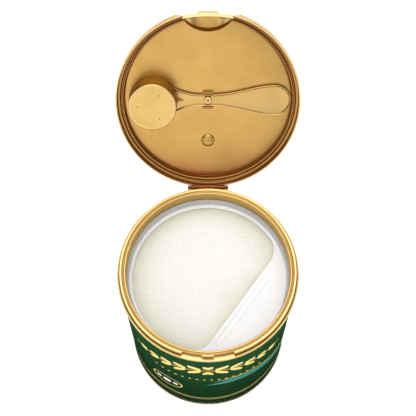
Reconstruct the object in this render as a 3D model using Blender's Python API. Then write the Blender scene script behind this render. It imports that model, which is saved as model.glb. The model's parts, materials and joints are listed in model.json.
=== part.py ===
"""An opened tin of milk powder, with a hinged lid and a scoop clipped inside the lid.

Every piece is drawn in the frame of the closed tin: its axis is Z, it stands on Z = 0, its front looks
along -Y and its hinge is at +Y. Lengths are metres. The lid and the scoop are then swung open about the
hinge, and the whole is moved so that the middle of its footprint is the origin.
"""
import math

import bmesh
import bpy
from mathutils import Matrix, Vector

SEGMENTS = 64
GAP = 0.0003

# The painted tin and its seamed bottom end.
TIN_RADIUS = 0.0635
TIN_WALL = 0.0010
TIN_TOP = 0.1564
SEAM_RADIUS = 0.0640
SEAM_WIDTH = 0.0024
SEAM_HEIGHT = 0.0030
PANEL_RECESS = 0.0025
PANEL_THICKNESS = 0.0008

# The collar that is snapped on the tin's top.
COLLAR_TOP = 0.1625
COLLAR_LEDGE = 0.1579
COLLAR_BOTTOM = 0.1550
COLLAR_SKIRT_RADIUS = 0.06516
COLLAR_RING_RADIUS = 0.0636
COLLAR_BORE_TOP = 0.05875
COLLAR_BORE_BOTTOM = 0.05835
COLLAR_BORE_END = 0.1535
GROOVE_RADIUS = 0.0608
GROOVE_WIDTH = 0.0014
GROOVE_DEPTH = 0.0010
LATCH_RECESS_RADIUS = 0.0619
LATCH_RECESS_HALF_ANGLE = math.radians(16.9)
NIB_HALF_ANGLE = math.radians(4.3)
NIB_REACH = 0.0014
NIB_LIFT = 0.0018
TONGUE_START_Y = 0.0600

# The white ring inside, whose shelf levels a full scoop.
RING_BORE = 0.0575
RING_WALL = 0.0014
RING_FLANGE_DROP = 0.0012
RING_FLANGE_THICKNESS = 0.0012
SHELF_TOP = 0.1443
SHELF_THICKNESS = 0.0016
MOUTH_RADIUS = 0.0553
CHORD_DISTANCE = 0.02905
CHORD_DIRECTION = math.radians(-36.0)
MOUTH_CORNER_RADIUS = 0.0090
SHELF_GROOVE_DISTANCE = 0.0345
SHELF_GROOVE_WIDTH = 0.0046
SHELF_GROOVE_LENGTH = 0.0620
SHELF_GROOVE_MIDDLE = -0.0030
SHELF_GROOVE_DEPTH = 0.0005

# The powder.
POWDER_LEVEL = 0.1417
POWDER_BUMP = 0.0004
POWDER_STEPS = 32
POWDER_RINGS = 8

# The hinge: its axis runs along X, level with the closed lid's rim.
HINGE_Y = 0.0661
HINGE_HALF_WIDTH = 0.01495
HINGE_ROLL_RADIUS = 0.0009
STRAP_START_Y = 0.0636
STRAP_HEIGHT = 0.0014
OPEN_ANGLE = math.radians(132.0)

# The lid. Heights count up from its rim, which is level with the hinge axis.
RIM_Z = 0.1583
LID_RADIUS = 0.0662
SKIRT_BORE = 0.0649
LEDGE_BORE = 0.0629
LEDGE_HEIGHT = 0.0047
FACE_HEIGHT = 0.0074
FACE_RADIUS = 0.06006
CHANNEL_HEIGHT = 0.0062
SEAL_RADIUS = 0.0609
SEAL_TIP_HEIGHT = 0.0040
SEAL_SLOT_HEIGHT = 0.0082
LID_HEIGHT = 0.0089
LID_CROWN = 0.0007
FLAP_HALF_ANGLE = math.radians(15.6)
FLAP_BORE = 0.0622
FLAP_TOP_RADIUS = 0.0637
FLAP_LIP_HEIGHT = 0.0012
SLOT_ANGLE = math.radians(0.8)
NIB_POCKET_HALF_ANGLE = math.radians(4.9)
THUMB_CENTRE_Y = -0.0710
THUMB_RADIUS = 0.0212
THUMB_DEPTH = 0.0045
THUMB_HALF_WIDTH = 0.0165
THUMB_OUTER_RADIUS = 0.0633
THUMB_WALL = 0.0012
BUTTON_Y = 0.0317
BUTTON_RADIUS = 0.0052
BUTTON_HEIGHT = 0.0014

# The scoop and the clip that holds it.
BOWL_X = -0.0393
BOWL_MOUTH_RADIUS = 0.0176
BOWL_BOTTOM_RADIUS = 0.0170
BOWL_HEIGHT = 0.0170
BOWL_WALL = 0.0013
HANDLE_THICKNESS = 0.0023
HANDLE_LIP_WIDTH = 0.0010
HANDLE_LIP_HEIGHT = 0.0009
NECK_HALF_WIDTH = 0.0043
NECK_END_X = -0.0040
PADDLE_X = 0.0481
PADDLE_RADIUS = 0.0114
FLARE_GROWTH = 0.0065
FLARE_LENGTH = 0.0200
FLARE_POWER = 2.6
WIDENING_POWER = 1.15
HANDLE_ROOT_X = -0.0270
RIB_LENGTH = 0.0042
RIB_HEIGHT = 0.0045
RIB_THICKNESS = 0.0010
PIN_RADIUS = 0.0025
LUG_SIZE = (0.0070, 0.0012, 0.0026)
LUG_Y = 0.0056

GOLD = (214, 176, 104)
PALE_GOLD = (236, 205, 138)
WHITE = (243, 242, 240)
GREEN = (38, 74, 48)
STEEL = (196, 176, 132)
CREAM = (243, 242, 226)


def linear(colour):
    """Turn an sRGB colour of 0 to 255 into the linear RGBA that a shader takes."""
    parts = [c / 255 for c in colour]
    return [c / 12.92 if c <= 0.04045 else ((c + 0.055) / 1.055) ** 2.4 for c in parts] + [1.0]


def make_material(name, colour, roughness, metallic):
    """Make a Principled material of one colour."""
    material = bpy.data.materials.new(name)
    material.use_nodes = True
    shader = material.node_tree.nodes["Principled BSDF"]
    shader.inputs["Base Color"].default_value = linear(colour)
    shader.inputs["Roughness"].default_value = roughness
    shader.inputs["Metallic"].default_value = metallic
    return material


def add_object(name, bm):
    """Put a bmesh in the scene as an object, with its faces pointing out."""
    bmesh.ops.recalc_face_normals(bm, faces=bm.faces)
    mesh = bpy.data.meshes.new(name)
    bm.to_mesh(mesh)
    bm.free()
    obj = bpy.data.objects.new(name, mesh)
    bpy.context.scene.collection.objects.link(obj)
    return obj


def turned(name, outline, steps=SEGMENTS):
    """Turn an outline of (radius, height) points round Z: a ring, or a disc where it ends on the axis."""
    bm = bmesh.new()
    verts = [bm.verts.new((radius, 0, height)) for radius, height in outline]
    pairs = list(zip(verts, verts[1:]))
    if outline[0][0] > 0:
        pairs.append((verts[-1], verts[0]))
    edges = [bm.edges.new(pair) for pair in pairs]
    bmesh.ops.spin(bm, geom=verts + edges, cent=(0, 0, 0), axis=(0, 0, 1), angle=math.tau, steps=steps,
                   use_merge=True)
    bmesh.ops.remove_doubles(bm, verts=bm.verts, dist=1e-6)
    return add_object(name, bm)


def arc_block(name, outline, middle, half_angle, steps=8):
    """Sweep an outline of (radius, height) points round Z through a part of a turn."""
    bm = bmesh.new()
    face = bm.faces.new([bm.verts.new((radius, 0, height)) for radius, height in outline])
    bmesh.ops.rotate(bm, verts=bm.verts, cent=(0, 0, 0), matrix=Matrix.Rotation(middle - half_angle, 3, "Z"))
    bmesh.ops.spin(bm, geom=[face, *face.edges, *face.verts], cent=(0, 0, 0), axis=(0, 0, 1),
                   angle=2 * half_angle, steps=steps)
    return add_object(name, bm)


def prism(name, points, bottom, top):
    """Extrude an outline of (x, y) points from one height to another."""
    bm = bmesh.new()
    face = bm.faces.new([bm.verts.new((x, y, bottom)) for x, y in points])
    grown = bmesh.ops.extrude_face_region(bm, geom=[face])["geom"]
    raised = [item for item in grown if isinstance(item, bmesh.types.BMVert)]
    bmesh.ops.translate(bm, verts=raised, vec=(0, 0, top - bottom))
    return add_object(name, bm)


def block(name, low, high):
    """Make a box from its lowest to its highest corner."""
    return prism(name, [(low[0], low[1]), (high[0], low[1]), (high[0], high[1]), (low[0], high[1])],
                 low[2], high[2])


def cone(name, centre, bottom, top, bottom_radius, top_radius, steps=SEGMENTS):
    """Make an upright cone or cylinder over the centre (x, y)."""
    obj = turned(name, [(0, bottom), (bottom_radius, bottom), (top_radius, top), (0, top)], steps)
    obj.data.transform(Matrix.Translation((centre[0], centre[1], 0)))
    return obj


def lying_cylinder(name, axis, centre, radius, half_length, steps=SEGMENTS):
    """Make a cylinder along X or Y."""
    obj = turned(name, [(0, -half_length), (radius, -half_length), (radius, half_length), (0, half_length)],
                 steps)
    turn = Matrix.Rotation(math.pi / 2, 4, "Y" if axis == "X" else "X")
    obj.data.transform(Matrix.Translation(centre) @ turn)
    return obj


def combine(target, others, operation):
    """Join the others to the target, cut them from it or keep what they share with it, then remove them."""
    operands = bpy.data.collections.new(target.name + "_operands")
    for other in others:
        operands.objects.link(other)
    modifier = target.modifiers.new("combine", "BOOLEAN")
    modifier.operation = operation
    modifier.solver = "EXACT"
    modifier.operand_type = "COLLECTION"
    modifier.collection = operands
    evaluated = target.evaluated_get(bpy.context.evaluated_depsgraph_get())
    result = bpy.data.meshes.new_from_object(evaluated)
    target.modifiers.clear()
    target.data = result
    for other in others:
        bpy.data.objects.remove(other)
    bpy.data.collections.remove(operands)
    return target


def finish(obj, colour, roughness, metallic, parent, offset=Vector()):
    """Smooth an object's round faces, give it its material and place it under its parent."""
    bm = bmesh.new()
    bm.from_mesh(obj.data)
    bmesh.ops.remove_doubles(bm, verts=bm.verts, dist=1e-6)
    bmesh.ops.dissolve_degenerate(bm, edges=bm.edges, dist=1e-6)
    bmesh.ops.triangulate(bm, faces=[face for face in bm.faces if len(face.verts) > 4])
    bm.to_mesh(obj.data)
    bm.free()
    obj.data.shade_smooth()
    obj.data.set_sharp_from_angle(angle=math.radians(35))
    obj.data.materials.clear()
    obj.data.materials.append(make_material(obj.name + "_material", colour, roughness, metallic))
    obj.parent = parent
    obj.location = offset
    return obj


def make_can_body():
    """The painted wall of the tin, open at both ends."""
    bore = TIN_RADIUS - TIN_WALL
    bottom = SEAM_HEIGHT + GAP
    return turned("can_body", [(TIN_RADIUS, TIN_TOP), (TIN_RADIUS, bottom), (bore, bottom), (bore, TIN_TOP)])


def make_can_base():
    """The bottom end: a recessed panel in a rolled seam that the tin stands on."""
    inner = SEAM_RADIUS - SEAM_WIDTH
    panel_top = PANEL_RECESS + PANEL_THICKNESS
    edge = 0.0004
    outline = [
        (0, PANEL_RECESS),
        (inner - 2 * edge, PANEL_RECESS),
        (inner - edge / 2, PANEL_RECESS - edge),
        (inner, edge),
        (inner + edge, 0),
        (SEAM_RADIUS - edge, 0),
        (SEAM_RADIUS, edge),
        (SEAM_RADIUS, SEAM_HEIGHT - edge),
        (SEAM_RADIUS - edge, SEAM_HEIGHT),
        (inner + edge, SEAM_HEIGHT),
        (inner, panel_top),
        (0, panel_top),
    ]
    return turned("can_base", outline)


def make_powder():
    """The powder, full up to its level, with a softly uneven top."""
    radius = TIN_RADIUS - TIN_WALL - GAP
    bottom = PANEL_RECESS + PANEL_THICKNESS + GAP
    rings = [(radius * ring / POWDER_RINGS, POWDER_LEVEL) for ring in range(POWDER_RINGS, -1, -1)]
    powder = turned("powder", [(0, bottom), (radius, bottom), *rings], POWDER_STEPS)
    for vert in powder.data.vertices:
        x, y, z = vert.co
        if z > bottom + GAP:
            vert.co.z += POWDER_BUMP * math.sin(170 * x + 1.3) * math.sin(140 * y - 60 * x)
    return powder


def collar_outline():
    """Half of the collar's cross-section, from its skirt over the sealing groove to its bore."""
    edge = 0.0005
    step = 0.0018
    skirt_bore = TIN_RADIUS + GAP
    ceiling = TIN_TOP + 0.0004
    half_groove = GROOVE_WIDTH / 2
    return [
        (COLLAR_SKIRT_RADIUS, COLLAR_BOTTOM),
        (COLLAR_SKIRT_RADIUS, COLLAR_LEDGE - edge),
        (COLLAR_SKIRT_RADIUS - edge / 2, COLLAR_LEDGE),
        (COLLAR_RING_RADIUS + edge / 3, COLLAR_LEDGE),
        (COLLAR_RING_RADIUS, COLLAR_LEDGE + edge / 2),
        (COLLAR_RING_RADIUS, COLLAR_TOP - edge),
        (COLLAR_RING_RADIUS - edge, COLLAR_TOP),
        (GROOVE_RADIUS + half_groove, COLLAR_TOP - edge / 3),
        (GROOVE_RADIUS + half_groove / 2, COLLAR_TOP - GROOVE_DEPTH),
        (GROOVE_RADIUS - half_groove / 2, COLLAR_TOP - GROOVE_DEPTH),
        (GROOVE_RADIUS - half_groove, COLLAR_TOP - edge / 3),
        (COLLAR_BORE_TOP + edge, COLLAR_TOP - edge / 4),
        (COLLAR_BORE_TOP, COLLAR_TOP - edge),
        (COLLAR_BORE_BOTTOM, COLLAR_BORE_END),
        (COLLAR_BORE_BOTTOM + step / 2, COLLAR_BORE_END),
        (COLLAR_BORE_BOTTOM + step, ceiling),
        (skirt_bore, ceiling),
        (skirt_bore, COLLAR_BOTTOM),
    ]


def make_collar():
    """The collar, with the latch's recess and nib in front and the hinge's tongue behind."""
    front = -math.pi / 2
    collar = turned("collar", collar_outline())
    reach = LID_RADIUS
    recess = arc_block("recess", [
        (LATCH_RECESS_RADIUS, COLLAR_LEDGE),
        (reach, COLLAR_LEDGE),
        (reach, COLLAR_TOP + GAP),
        (LATCH_RECESS_RADIUS, COLLAR_TOP + GAP),
    ], front, LATCH_RECESS_HALF_ANGLE)
    combine(collar, [recess], "DIFFERENCE")
    nib_low = COLLAR_LEDGE + NIB_LIFT
    nib_high = COLLAR_TOP - GAP
    nib = arc_block("nib", [
        (LATCH_RECESS_RADIUS - GAP, nib_low),
        (LATCH_RECESS_RADIUS + NIB_REACH / 2, nib_low),
        (LATCH_RECESS_RADIUS + NIB_REACH, nib_high - NIB_REACH),
        (LATCH_RECESS_RADIUS + NIB_REACH, nib_high),
        (LATCH_RECESS_RADIUS - GAP, nib_high),
    ], front, NIB_HALF_ANGLE, 3)
    tongue_top = RIM_Z - HINGE_ROLL_RADIUS - GAP
    tongue = block("tongue", (-HINGE_HALF_WIDTH, TONGUE_START_Y, COLLAR_BOTTOM + GAP),
                   (HINGE_HALF_WIDTH, HINGE_Y + GAP, tongue_top))
    bore = TIN_RADIUS + 2 * GAP
    inside = cone("inside", (0, 0), COLLAR_BOTTOM, COLLAR_TOP, bore, bore)
    combine(tongue, [inside], "DIFFERENCE")
    return combine(collar, [nib, tongue], "UNION")


def mouth_points():
    """The mouth's outline: a circle cut off by the shelf's straight edge, with round corners."""
    corner = MOUTH_CORNER_RADIUS
    along = CHORD_DISTANCE - corner
    across = math.sqrt((MOUTH_RADIUS - corner) ** 2 - along ** 2)
    turn = math.atan2(across, along)
    steps = 6
    points = []
    for step in range(steps):
        angle = turn * step / steps
        points.append((along + corner * math.cos(angle), across + corner * math.sin(angle)))
    for step in range(SEGMENTS * 3 // 4 + 1):
        angle = turn + (math.tau - 2 * turn) * step / (SEGMENTS * 3 // 4)
        points.append((MOUTH_RADIUS * math.cos(angle), MOUTH_RADIUS * math.sin(angle)))
    for step in range(1, steps + 1):
        angle = turn * (step / steps - 1)
        points.append((along + corner * math.cos(angle), -across + corner * math.sin(angle)))
    return [turned_to_chord(*point) for point in points]


def turned_to_chord(along, across):
    """Turn a point given along and across the shelf's direction into (x, y)."""
    cos, sin = math.cos(CHORD_DIRECTION), math.sin(CHORD_DIRECTION)
    return along * cos - across * sin, along * sin + across * cos


def shelf_groove_points():
    """The outline of the shelf's shallow groove: a straight slot with round ends."""
    radius = SHELF_GROOVE_WIDTH / 2
    half = SHELF_GROOVE_LENGTH / 2 - radius
    points = []
    for end in (1, -1):
        for step in range(9):
            angle = math.pi * step / 8
            across = SHELF_GROOVE_MIDDLE + end * (half + radius * math.sin(angle))
            points.append(turned_to_chord(SHELF_GROOVE_DISTANCE + end * radius * math.cos(angle), across))
    return points


def make_leveller():
    """The white ring, its mouth and the shelf with its groove."""
    edge = 0.0005
    wall = RING_BORE + RING_WALL
    bottom = SHELF_TOP - SHELF_THICKNESS
    flange_top = COLLAR_BORE_END - RING_FLANGE_DROP
    flange_bottom = flange_top - RING_FLANGE_THICKNESS
    flange_radius = TIN_RADIUS - TIN_WALL - GAP
    outline = [
        (0, bottom),
        (wall - 3 * edge, bottom),
        (wall, bottom + 2 * edge),
        (wall, flange_bottom),
        (flange_radius, flange_bottom),
        (flange_radius, flange_top),
        (RING_BORE + edge, flange_top),
        (RING_BORE + edge / 2, flange_top - edge),
        (RING_BORE, SHELF_TOP + 2 * edge),
        (RING_BORE - 2 * edge, SHELF_TOP),
        (0, SHELF_TOP),
    ]
    leveller = turned("leveller", outline)
    mouth = prism("mouth", mouth_points(), bottom - GAP, SHELF_TOP + GAP)
    groove = prism("groove", shelf_groove_points(), SHELF_TOP - SHELF_GROOVE_DEPTH, SHELF_TOP + GAP)
    return combine(leveller, [mouth, groove], "DIFFERENCE")


def lid_outline():
    """Half of the lid's cross-section, from the crown over the rim and the sealing ring to the face."""
    edge = 0.0005
    tip = 0.0003
    top = RIM_Z + LID_HEIGHT
    return [
        (0, top + LID_CROWN),
        (LID_RADIUS * 0.6, top + LID_CROWN * 0.7),
        (LID_RADIUS - 3 * edge, top),
        (LID_RADIUS - edge, top - 1.5 * edge),
        (LID_RADIUS, RIM_Z + 1.5 * edge),
        (LID_RADIUS - edge, RIM_Z),
        (SKIRT_BORE + edge, RIM_Z),
        (SKIRT_BORE, RIM_Z + edge),
        (SKIRT_BORE, RIM_Z + LEDGE_HEIGHT),
        (LEDGE_BORE, RIM_Z + LEDGE_HEIGHT),
        (LEDGE_BORE, RIM_Z + CHANNEL_HEIGHT),
        (SEAL_RADIUS + 1.5 * tip, RIM_Z + CHANNEL_HEIGHT),
        (SEAL_RADIUS + tip, RIM_Z + SEAL_TIP_HEIGHT),
        (SEAL_RADIUS - tip, RIM_Z + SEAL_TIP_HEIGHT),
        (SEAL_RADIUS - tip, RIM_Z + SEAL_SLOT_HEIGHT),
        (FACE_RADIUS, RIM_Z + SEAL_SLOT_HEIGHT),
        (FACE_RADIUS, RIM_Z + FACE_HEIGHT),
        (0, RIM_Z + FACE_HEIGHT),
    ]


def thumb_pad(name, radius, clip_radius, height, half_width, depth, low):
    """Shape a lens over the lid's front: a disc clipped by the skirt, deepest in the middle."""
    high = RIM_Z + height + GAP
    slope = THUMB_DEPTH / 3
    pad = cone(name, (0, THUMB_CENTRE_Y), low, high, radius, radius - slope)
    clip = cone("clip", (0, 0), low - GAP, high + GAP, clip_radius, clip_radius)
    curve = (half_width ** 2 + depth ** 2) / (2 * depth)
    lens = lying_cylinder("lens", "Y", (0, -LID_RADIUS, RIM_Z + height - curve), curve, LID_RADIUS)
    combine(pad, [clip], "INTERSECT")
    return combine(pad, [lens], "INTERSECT")


def lid_additions():
    """What stands on the lid: the flap's lining, the thumb pad, the hinge, the clip and the button."""
    face = RIM_Z + FACE_HEIGHT
    buried = 0.0005
    handle_low = face - GAP - HANDLE_THICKNESS
    lining = arc_block("lining", [
        (FLAP_BORE, RIM_Z + GAP),
        (SKIRT_BORE + GAP, RIM_Z + GAP),
        (SKIRT_BORE + GAP, RIM_Z + CHANNEL_HEIGHT + buried),
        (FLAP_BORE, RIM_Z + CHANNEL_HEIGHT + buried),
    ], -math.pi / 2, FLAP_HALF_ANGLE)
    pad = thumb_pad("pad", THUMB_RADIUS + THUMB_WALL, THUMB_OUTER_RADIUS,
                    FACE_HEIGHT + THUMB_DEPTH + THUMB_WALL, THUMB_HALF_WIDTH + 2 * THUMB_WALL,
                    THUMB_DEPTH + THUMB_WALL, face + buried)
    strap = block("strap", (-HINGE_HALF_WIDTH, STRAP_START_Y, RIM_Z + GAP / 2),
                  (HINGE_HALF_WIDTH, HINGE_Y, RIM_Z + STRAP_HEIGHT))
    bore = SKIRT_BORE + GAP
    inside = cone("inside", (0, 0), RIM_Z - GAP, RIM_Z + LID_HEIGHT, bore, bore)
    combine(strap, [inside], "DIFFERENCE")
    roll = lying_cylinder("roll", "X", (0, HINGE_Y, RIM_Z), HINGE_ROLL_RADIUS, HINGE_HALF_WIDTH, 12)
    pin = cone("pin", (0, 0), handle_low - GAP, face + buried, PIN_RADIUS - GAP, PIN_RADIUS, 20)
    button = turned("button", [
        (0, face + buried),
        (BUTTON_RADIUS, face + buried),
        (BUTTON_RADIUS, face - BUTTON_HEIGHT / 4),
        (BUTTON_RADIUS * 0.72, face - BUTTON_HEIGHT),
        (0, face - BUTTON_HEIGHT),
    ], 20)
    button.data.transform(Matrix.Translation((0, BUTTON_Y, 0)))
    lugs = []
    for side in (-1, 1):
        low = (-LUG_SIZE[0] / 2, side * LUG_Y - LUG_SIZE[1] / 2, face - LUG_SIZE[2])
        high = (LUG_SIZE[0] / 2, side * LUG_Y + LUG_SIZE[1] / 2, face + buried)
        lugs.append(block("lug", low, high))
    return [lining, pad, strap, roll, pin, button, *lugs]


def lid_cuts():
    """What is cut from the lid: the thumb pocket, the flap's slope, slots and nib pocket."""
    front = -math.pi / 2
    beyond = LID_RADIUS + 5 * GAP
    inner = FLAP_BORE - GAP
    channel = RIM_Z + CHANNEL_HEIGHT - GAP
    lip = RIM_Z + FLAP_LIP_HEIGHT
    shoulder = RIM_Z + LID_HEIGHT - 4 * GAP
    above = RIM_Z + LID_HEIGHT + 3 * GAP
    pocket = thumb_pad("pocket", THUMB_RADIUS, inner, FACE_HEIGHT + THUMB_DEPTH, THUMB_HALF_WIDTH,
                       THUMB_DEPTH, RIM_Z + SEAL_TIP_HEIGHT - 2 * GAP)
    slope = arc_block("slope", [
        (LID_RADIUS - GAP, lip),
        (FLAP_TOP_RADIUS, shoulder),
        (FLAP_TOP_RADIUS - 2 * GAP, above),
        (beyond, above),
        (beyond, lip),
    ], front, FLAP_HALF_ANGLE)
    slots = []
    for side in (-1, 1):
        middle = front + side * (FLAP_HALF_ANGLE + SLOT_ANGLE / 2)
        low = RIM_Z - GAP
        section = [(inner, low), (beyond, low), (beyond, channel), (inner, channel)]
        slots.append(arc_block("slot", section, middle, SLOT_ANGLE * 0.52, 1))
    nib_reach = LATCH_RECESS_RADIUS + NIB_REACH + GAP
    nib_pocket = arc_block("nib_pocket", [
        (inner, RIM_Z - GAP),
        (nib_reach, RIM_Z - GAP),
        (nib_reach, channel),
        (inner, channel),
    ], front, NIB_POCKET_HALF_ANGLE, 3)
    return [pocket, slope, nib_pocket, *slots]


def make_lid():
    """The lid with all that is moulded on it."""
    lid = turned("lid", lid_outline())
    combine(lid, lid_additions(), "UNION")
    return combine(lid, lid_cuts(), "DIFFERENCE")


def handle_half_width(x):
    """Half of the handle's width: a narrow neck that flares to the bowl and widens to the paddle."""
    if x < NECK_END_X:
        return NECK_HALF_WIDTH + FLARE_GROWTH * ((NECK_END_X - x) / FLARE_LENGTH) ** FLARE_POWER
    along = max(x, 0) / PADDLE_X
    grown = (1 - math.cos(math.pi * along ** WIDENING_POWER)) / 2
    return NECK_HALF_WIDTH + (PADDLE_RADIUS - NECK_HALF_WIDTH) * grown


def handle_points():
    """The handle's outline, from the bowl along one side, round the paddle and back."""
    sides = 12
    side = [HANDLE_ROOT_X + (PADDLE_X - HANDLE_ROOT_X) * step / sides for step in range(sides)]
    lower = [(x, -handle_half_width(x)) for x in side]
    ends = 10
    paddle = []
    for step in range(ends + 1):
        angle = math.pi * (step / ends - 0.5)
        paddle.append((PADDLE_X + PADDLE_RADIUS * math.cos(angle), PADDLE_RADIUS * math.sin(angle)))
    upper = [(x, -y) for x, y in reversed(lower)]
    return lower + paddle + upper


def make_handle(low, high):
    """The handle, a plate with a lip round its lower side."""
    handle = prism("handle", handle_points(), low, high)
    bm = bmesh.new()
    bm.from_mesh(handle.data)
    under = min(bm.faces, key=lambda face: face.calc_center_median().z)
    bmesh.ops.inset_region(bm, faces=[under], thickness=HANDLE_LIP_WIDTH)
    bmesh.ops.translate(bm, verts=under.verts, vec=(0, 0, HANDLE_LIP_HEIGHT))
    bm.to_mesh(handle.data)
    bm.free()
    return handle


def make_scoop():
    """The scoop: its bowl's mouth lies on the lid's face, and its handle runs across the lid."""
    mouth = RIM_Z + FACE_HEIGHT - GAP
    bottom = mouth - BOWL_HEIGHT
    edge = 0.0004
    sides = 40
    scoop = turned("scoop", [
        (0, bottom),
        (BOWL_BOTTOM_RADIUS - edge, bottom),
        (BOWL_BOTTOM_RADIUS, bottom + edge),
        (BOWL_MOUTH_RADIUS, mouth),
        (0, mouth),
    ], sides)
    scoop.data.transform(Matrix.Translation((BOWL_X, 0, 0)))
    handle = make_handle(mouth - HANDLE_THICKNESS, mouth)
    rib_top = mouth - HANDLE_THICKNESS / 2
    rib_x = BOWL_X + BOWL_MOUTH_RADIUS
    rib = rib_block(rib_x - BOWL_WALL / 2, rib_x + RIB_LENGTH, rib_top, rib_top - RIB_HEIGHT)
    combine(scoop, [handle, rib], "UNION")
    hollow = cone("hollow", (BOWL_X, 0), bottom + BOWL_WALL, mouth + GAP,
                  BOWL_BOTTOM_RADIUS - BOWL_WALL, BOWL_MOUTH_RADIUS - BOWL_WALL, sides)
    hole = cone("hole", (0, 0), mouth - 2 * HANDLE_THICKNESS, mouth + GAP, PIN_RADIUS + GAP,
                PIN_RADIUS + GAP, 20)
    return combine(scoop, [hollow, hole], "DIFFERENCE")


def rib_block(near, far, top, low):
    """The small rib that stiffens the handle beside the bowl: a triangle that stands in the XZ plane."""
    half = RIB_THICKNESS / 2
    bm = bmesh.new()
    face = bm.faces.new([bm.verts.new((x, -half, z)) for x, z in ((near, top), (far, top), (near, low))])
    grown = bmesh.ops.extrude_face_region(bm, geom=[face])["geom"]
    moved = [item for item in grown if isinstance(item, bmesh.types.BMVert)]
    bmesh.ops.translate(bm, verts=moved, vec=(0, 2 * half, 0))
    return add_object("rib", bm)


def add_empty(name, parent, location):
    """Add an empty that other objects are parented to."""
    empty = bpy.data.objects.new(name, None)
    bpy.context.scene.collection.objects.link(empty)
    empty.parent = parent
    empty.location = location
    return empty


def centre_footprint(root, objects):
    """Move the root so that the middle of the objects' footprint is the origin."""
    bpy.context.view_layer.update()
    points = [obj.matrix_world @ vert.co for obj in objects for vert in obj.data.vertices]
    for axis in (0, 1):
        values = [point[axis] for point in points]
        root.location[axis] = -(min(values) + max(values)) / 2
    bpy.context.view_layer.update()


def main():
    """Build the tin, swing its lid open and centre it."""
    for obj in list(bpy.data.objects):
        bpy.data.objects.remove(obj)
    root = add_empty("tin_frame", None, (0, 0, 0))
    hinge = Vector((0, HINGE_Y, RIM_Z))
    lid_axis = add_empty("lid_axis", root, hinge)
    lid_axis.rotation_euler.x = -OPEN_ANGLE
    pieces = [
        finish(make_can_body(), GREEN, 0.35, 0.3, root),
        finish(make_can_base(), STEEL, 0.3, 1.0, root),
        finish(make_collar(), PALE_GOLD, 0.35, 0.2, root),
        finish(make_leveller(), WHITE, 0.35, 0.0, root),
        finish(make_powder(), CREAM, 0.9, 0.0, root),
        finish(make_lid(), GOLD, 0.35, 0.2, lid_axis, -hinge),
        finish(make_scoop(), PALE_GOLD, 0.35, 0.2, lid_axis, -hinge),
    ]
    centre_footprint(root, pieces)
    print("hinge axis at", [round(value, 6) for value in lid_axis.matrix_world.translation])


if __name__ == "__main__":
    main()
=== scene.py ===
"""The looks of an opened tin of milk powder: its finishes, its fine surfaces and the studio round it.

Every piece is worked out in the frame of the closed tin, whose axis is Z, whose front looks along -Y and
whose hinge is at +Y. The lid and the scoop are then swung open about the hinge that the frame gives.
Lengths are metres.
"""

import json
import logging
import math
from dataclasses import dataclass
from enum import Enum
from typing import Callable, Optional, Union

import bmesh
import bpy
import numpy as np
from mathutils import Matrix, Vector

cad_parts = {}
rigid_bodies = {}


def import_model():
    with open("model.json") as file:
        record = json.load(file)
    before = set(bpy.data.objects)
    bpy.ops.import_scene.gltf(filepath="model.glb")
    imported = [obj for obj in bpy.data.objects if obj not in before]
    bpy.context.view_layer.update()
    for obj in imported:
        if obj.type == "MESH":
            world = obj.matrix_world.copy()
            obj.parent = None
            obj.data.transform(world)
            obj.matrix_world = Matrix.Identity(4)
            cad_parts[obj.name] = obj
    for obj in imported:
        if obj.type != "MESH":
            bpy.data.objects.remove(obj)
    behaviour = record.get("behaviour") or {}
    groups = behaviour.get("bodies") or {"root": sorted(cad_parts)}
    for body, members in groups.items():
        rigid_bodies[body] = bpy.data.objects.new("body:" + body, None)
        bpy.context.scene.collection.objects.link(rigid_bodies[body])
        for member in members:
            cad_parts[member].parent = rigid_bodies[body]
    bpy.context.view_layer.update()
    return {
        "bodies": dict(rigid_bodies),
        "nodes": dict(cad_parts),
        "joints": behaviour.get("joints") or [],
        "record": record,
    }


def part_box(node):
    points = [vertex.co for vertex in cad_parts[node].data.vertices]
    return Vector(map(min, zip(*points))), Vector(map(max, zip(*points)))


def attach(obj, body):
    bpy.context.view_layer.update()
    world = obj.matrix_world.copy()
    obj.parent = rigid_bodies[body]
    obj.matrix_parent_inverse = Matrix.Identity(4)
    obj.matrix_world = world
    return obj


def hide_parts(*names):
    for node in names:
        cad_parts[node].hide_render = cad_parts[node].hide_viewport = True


LOG = logging.getLogger("milk_tin")
Array = np.ndarray
Colour = tuple[float, float, float]
FULL_TURN = math.tau
FRONT = 1.5 * math.pi
SAME_POINT = 2e-6


class Body(Enum):
    """The two bodies that pieces ride on."""

    TIN = "tin"
    LID = "lid_part"


class Slot(Enum):
    """The record's material slots."""

    PAINTED_TIN = "painted_tin"
    PLAIN_TIN = "plain_tin"
    GOLD = "gold_plastic"
    WHITE = "white_plastic"
    POWDER = "milk_powder"


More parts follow.
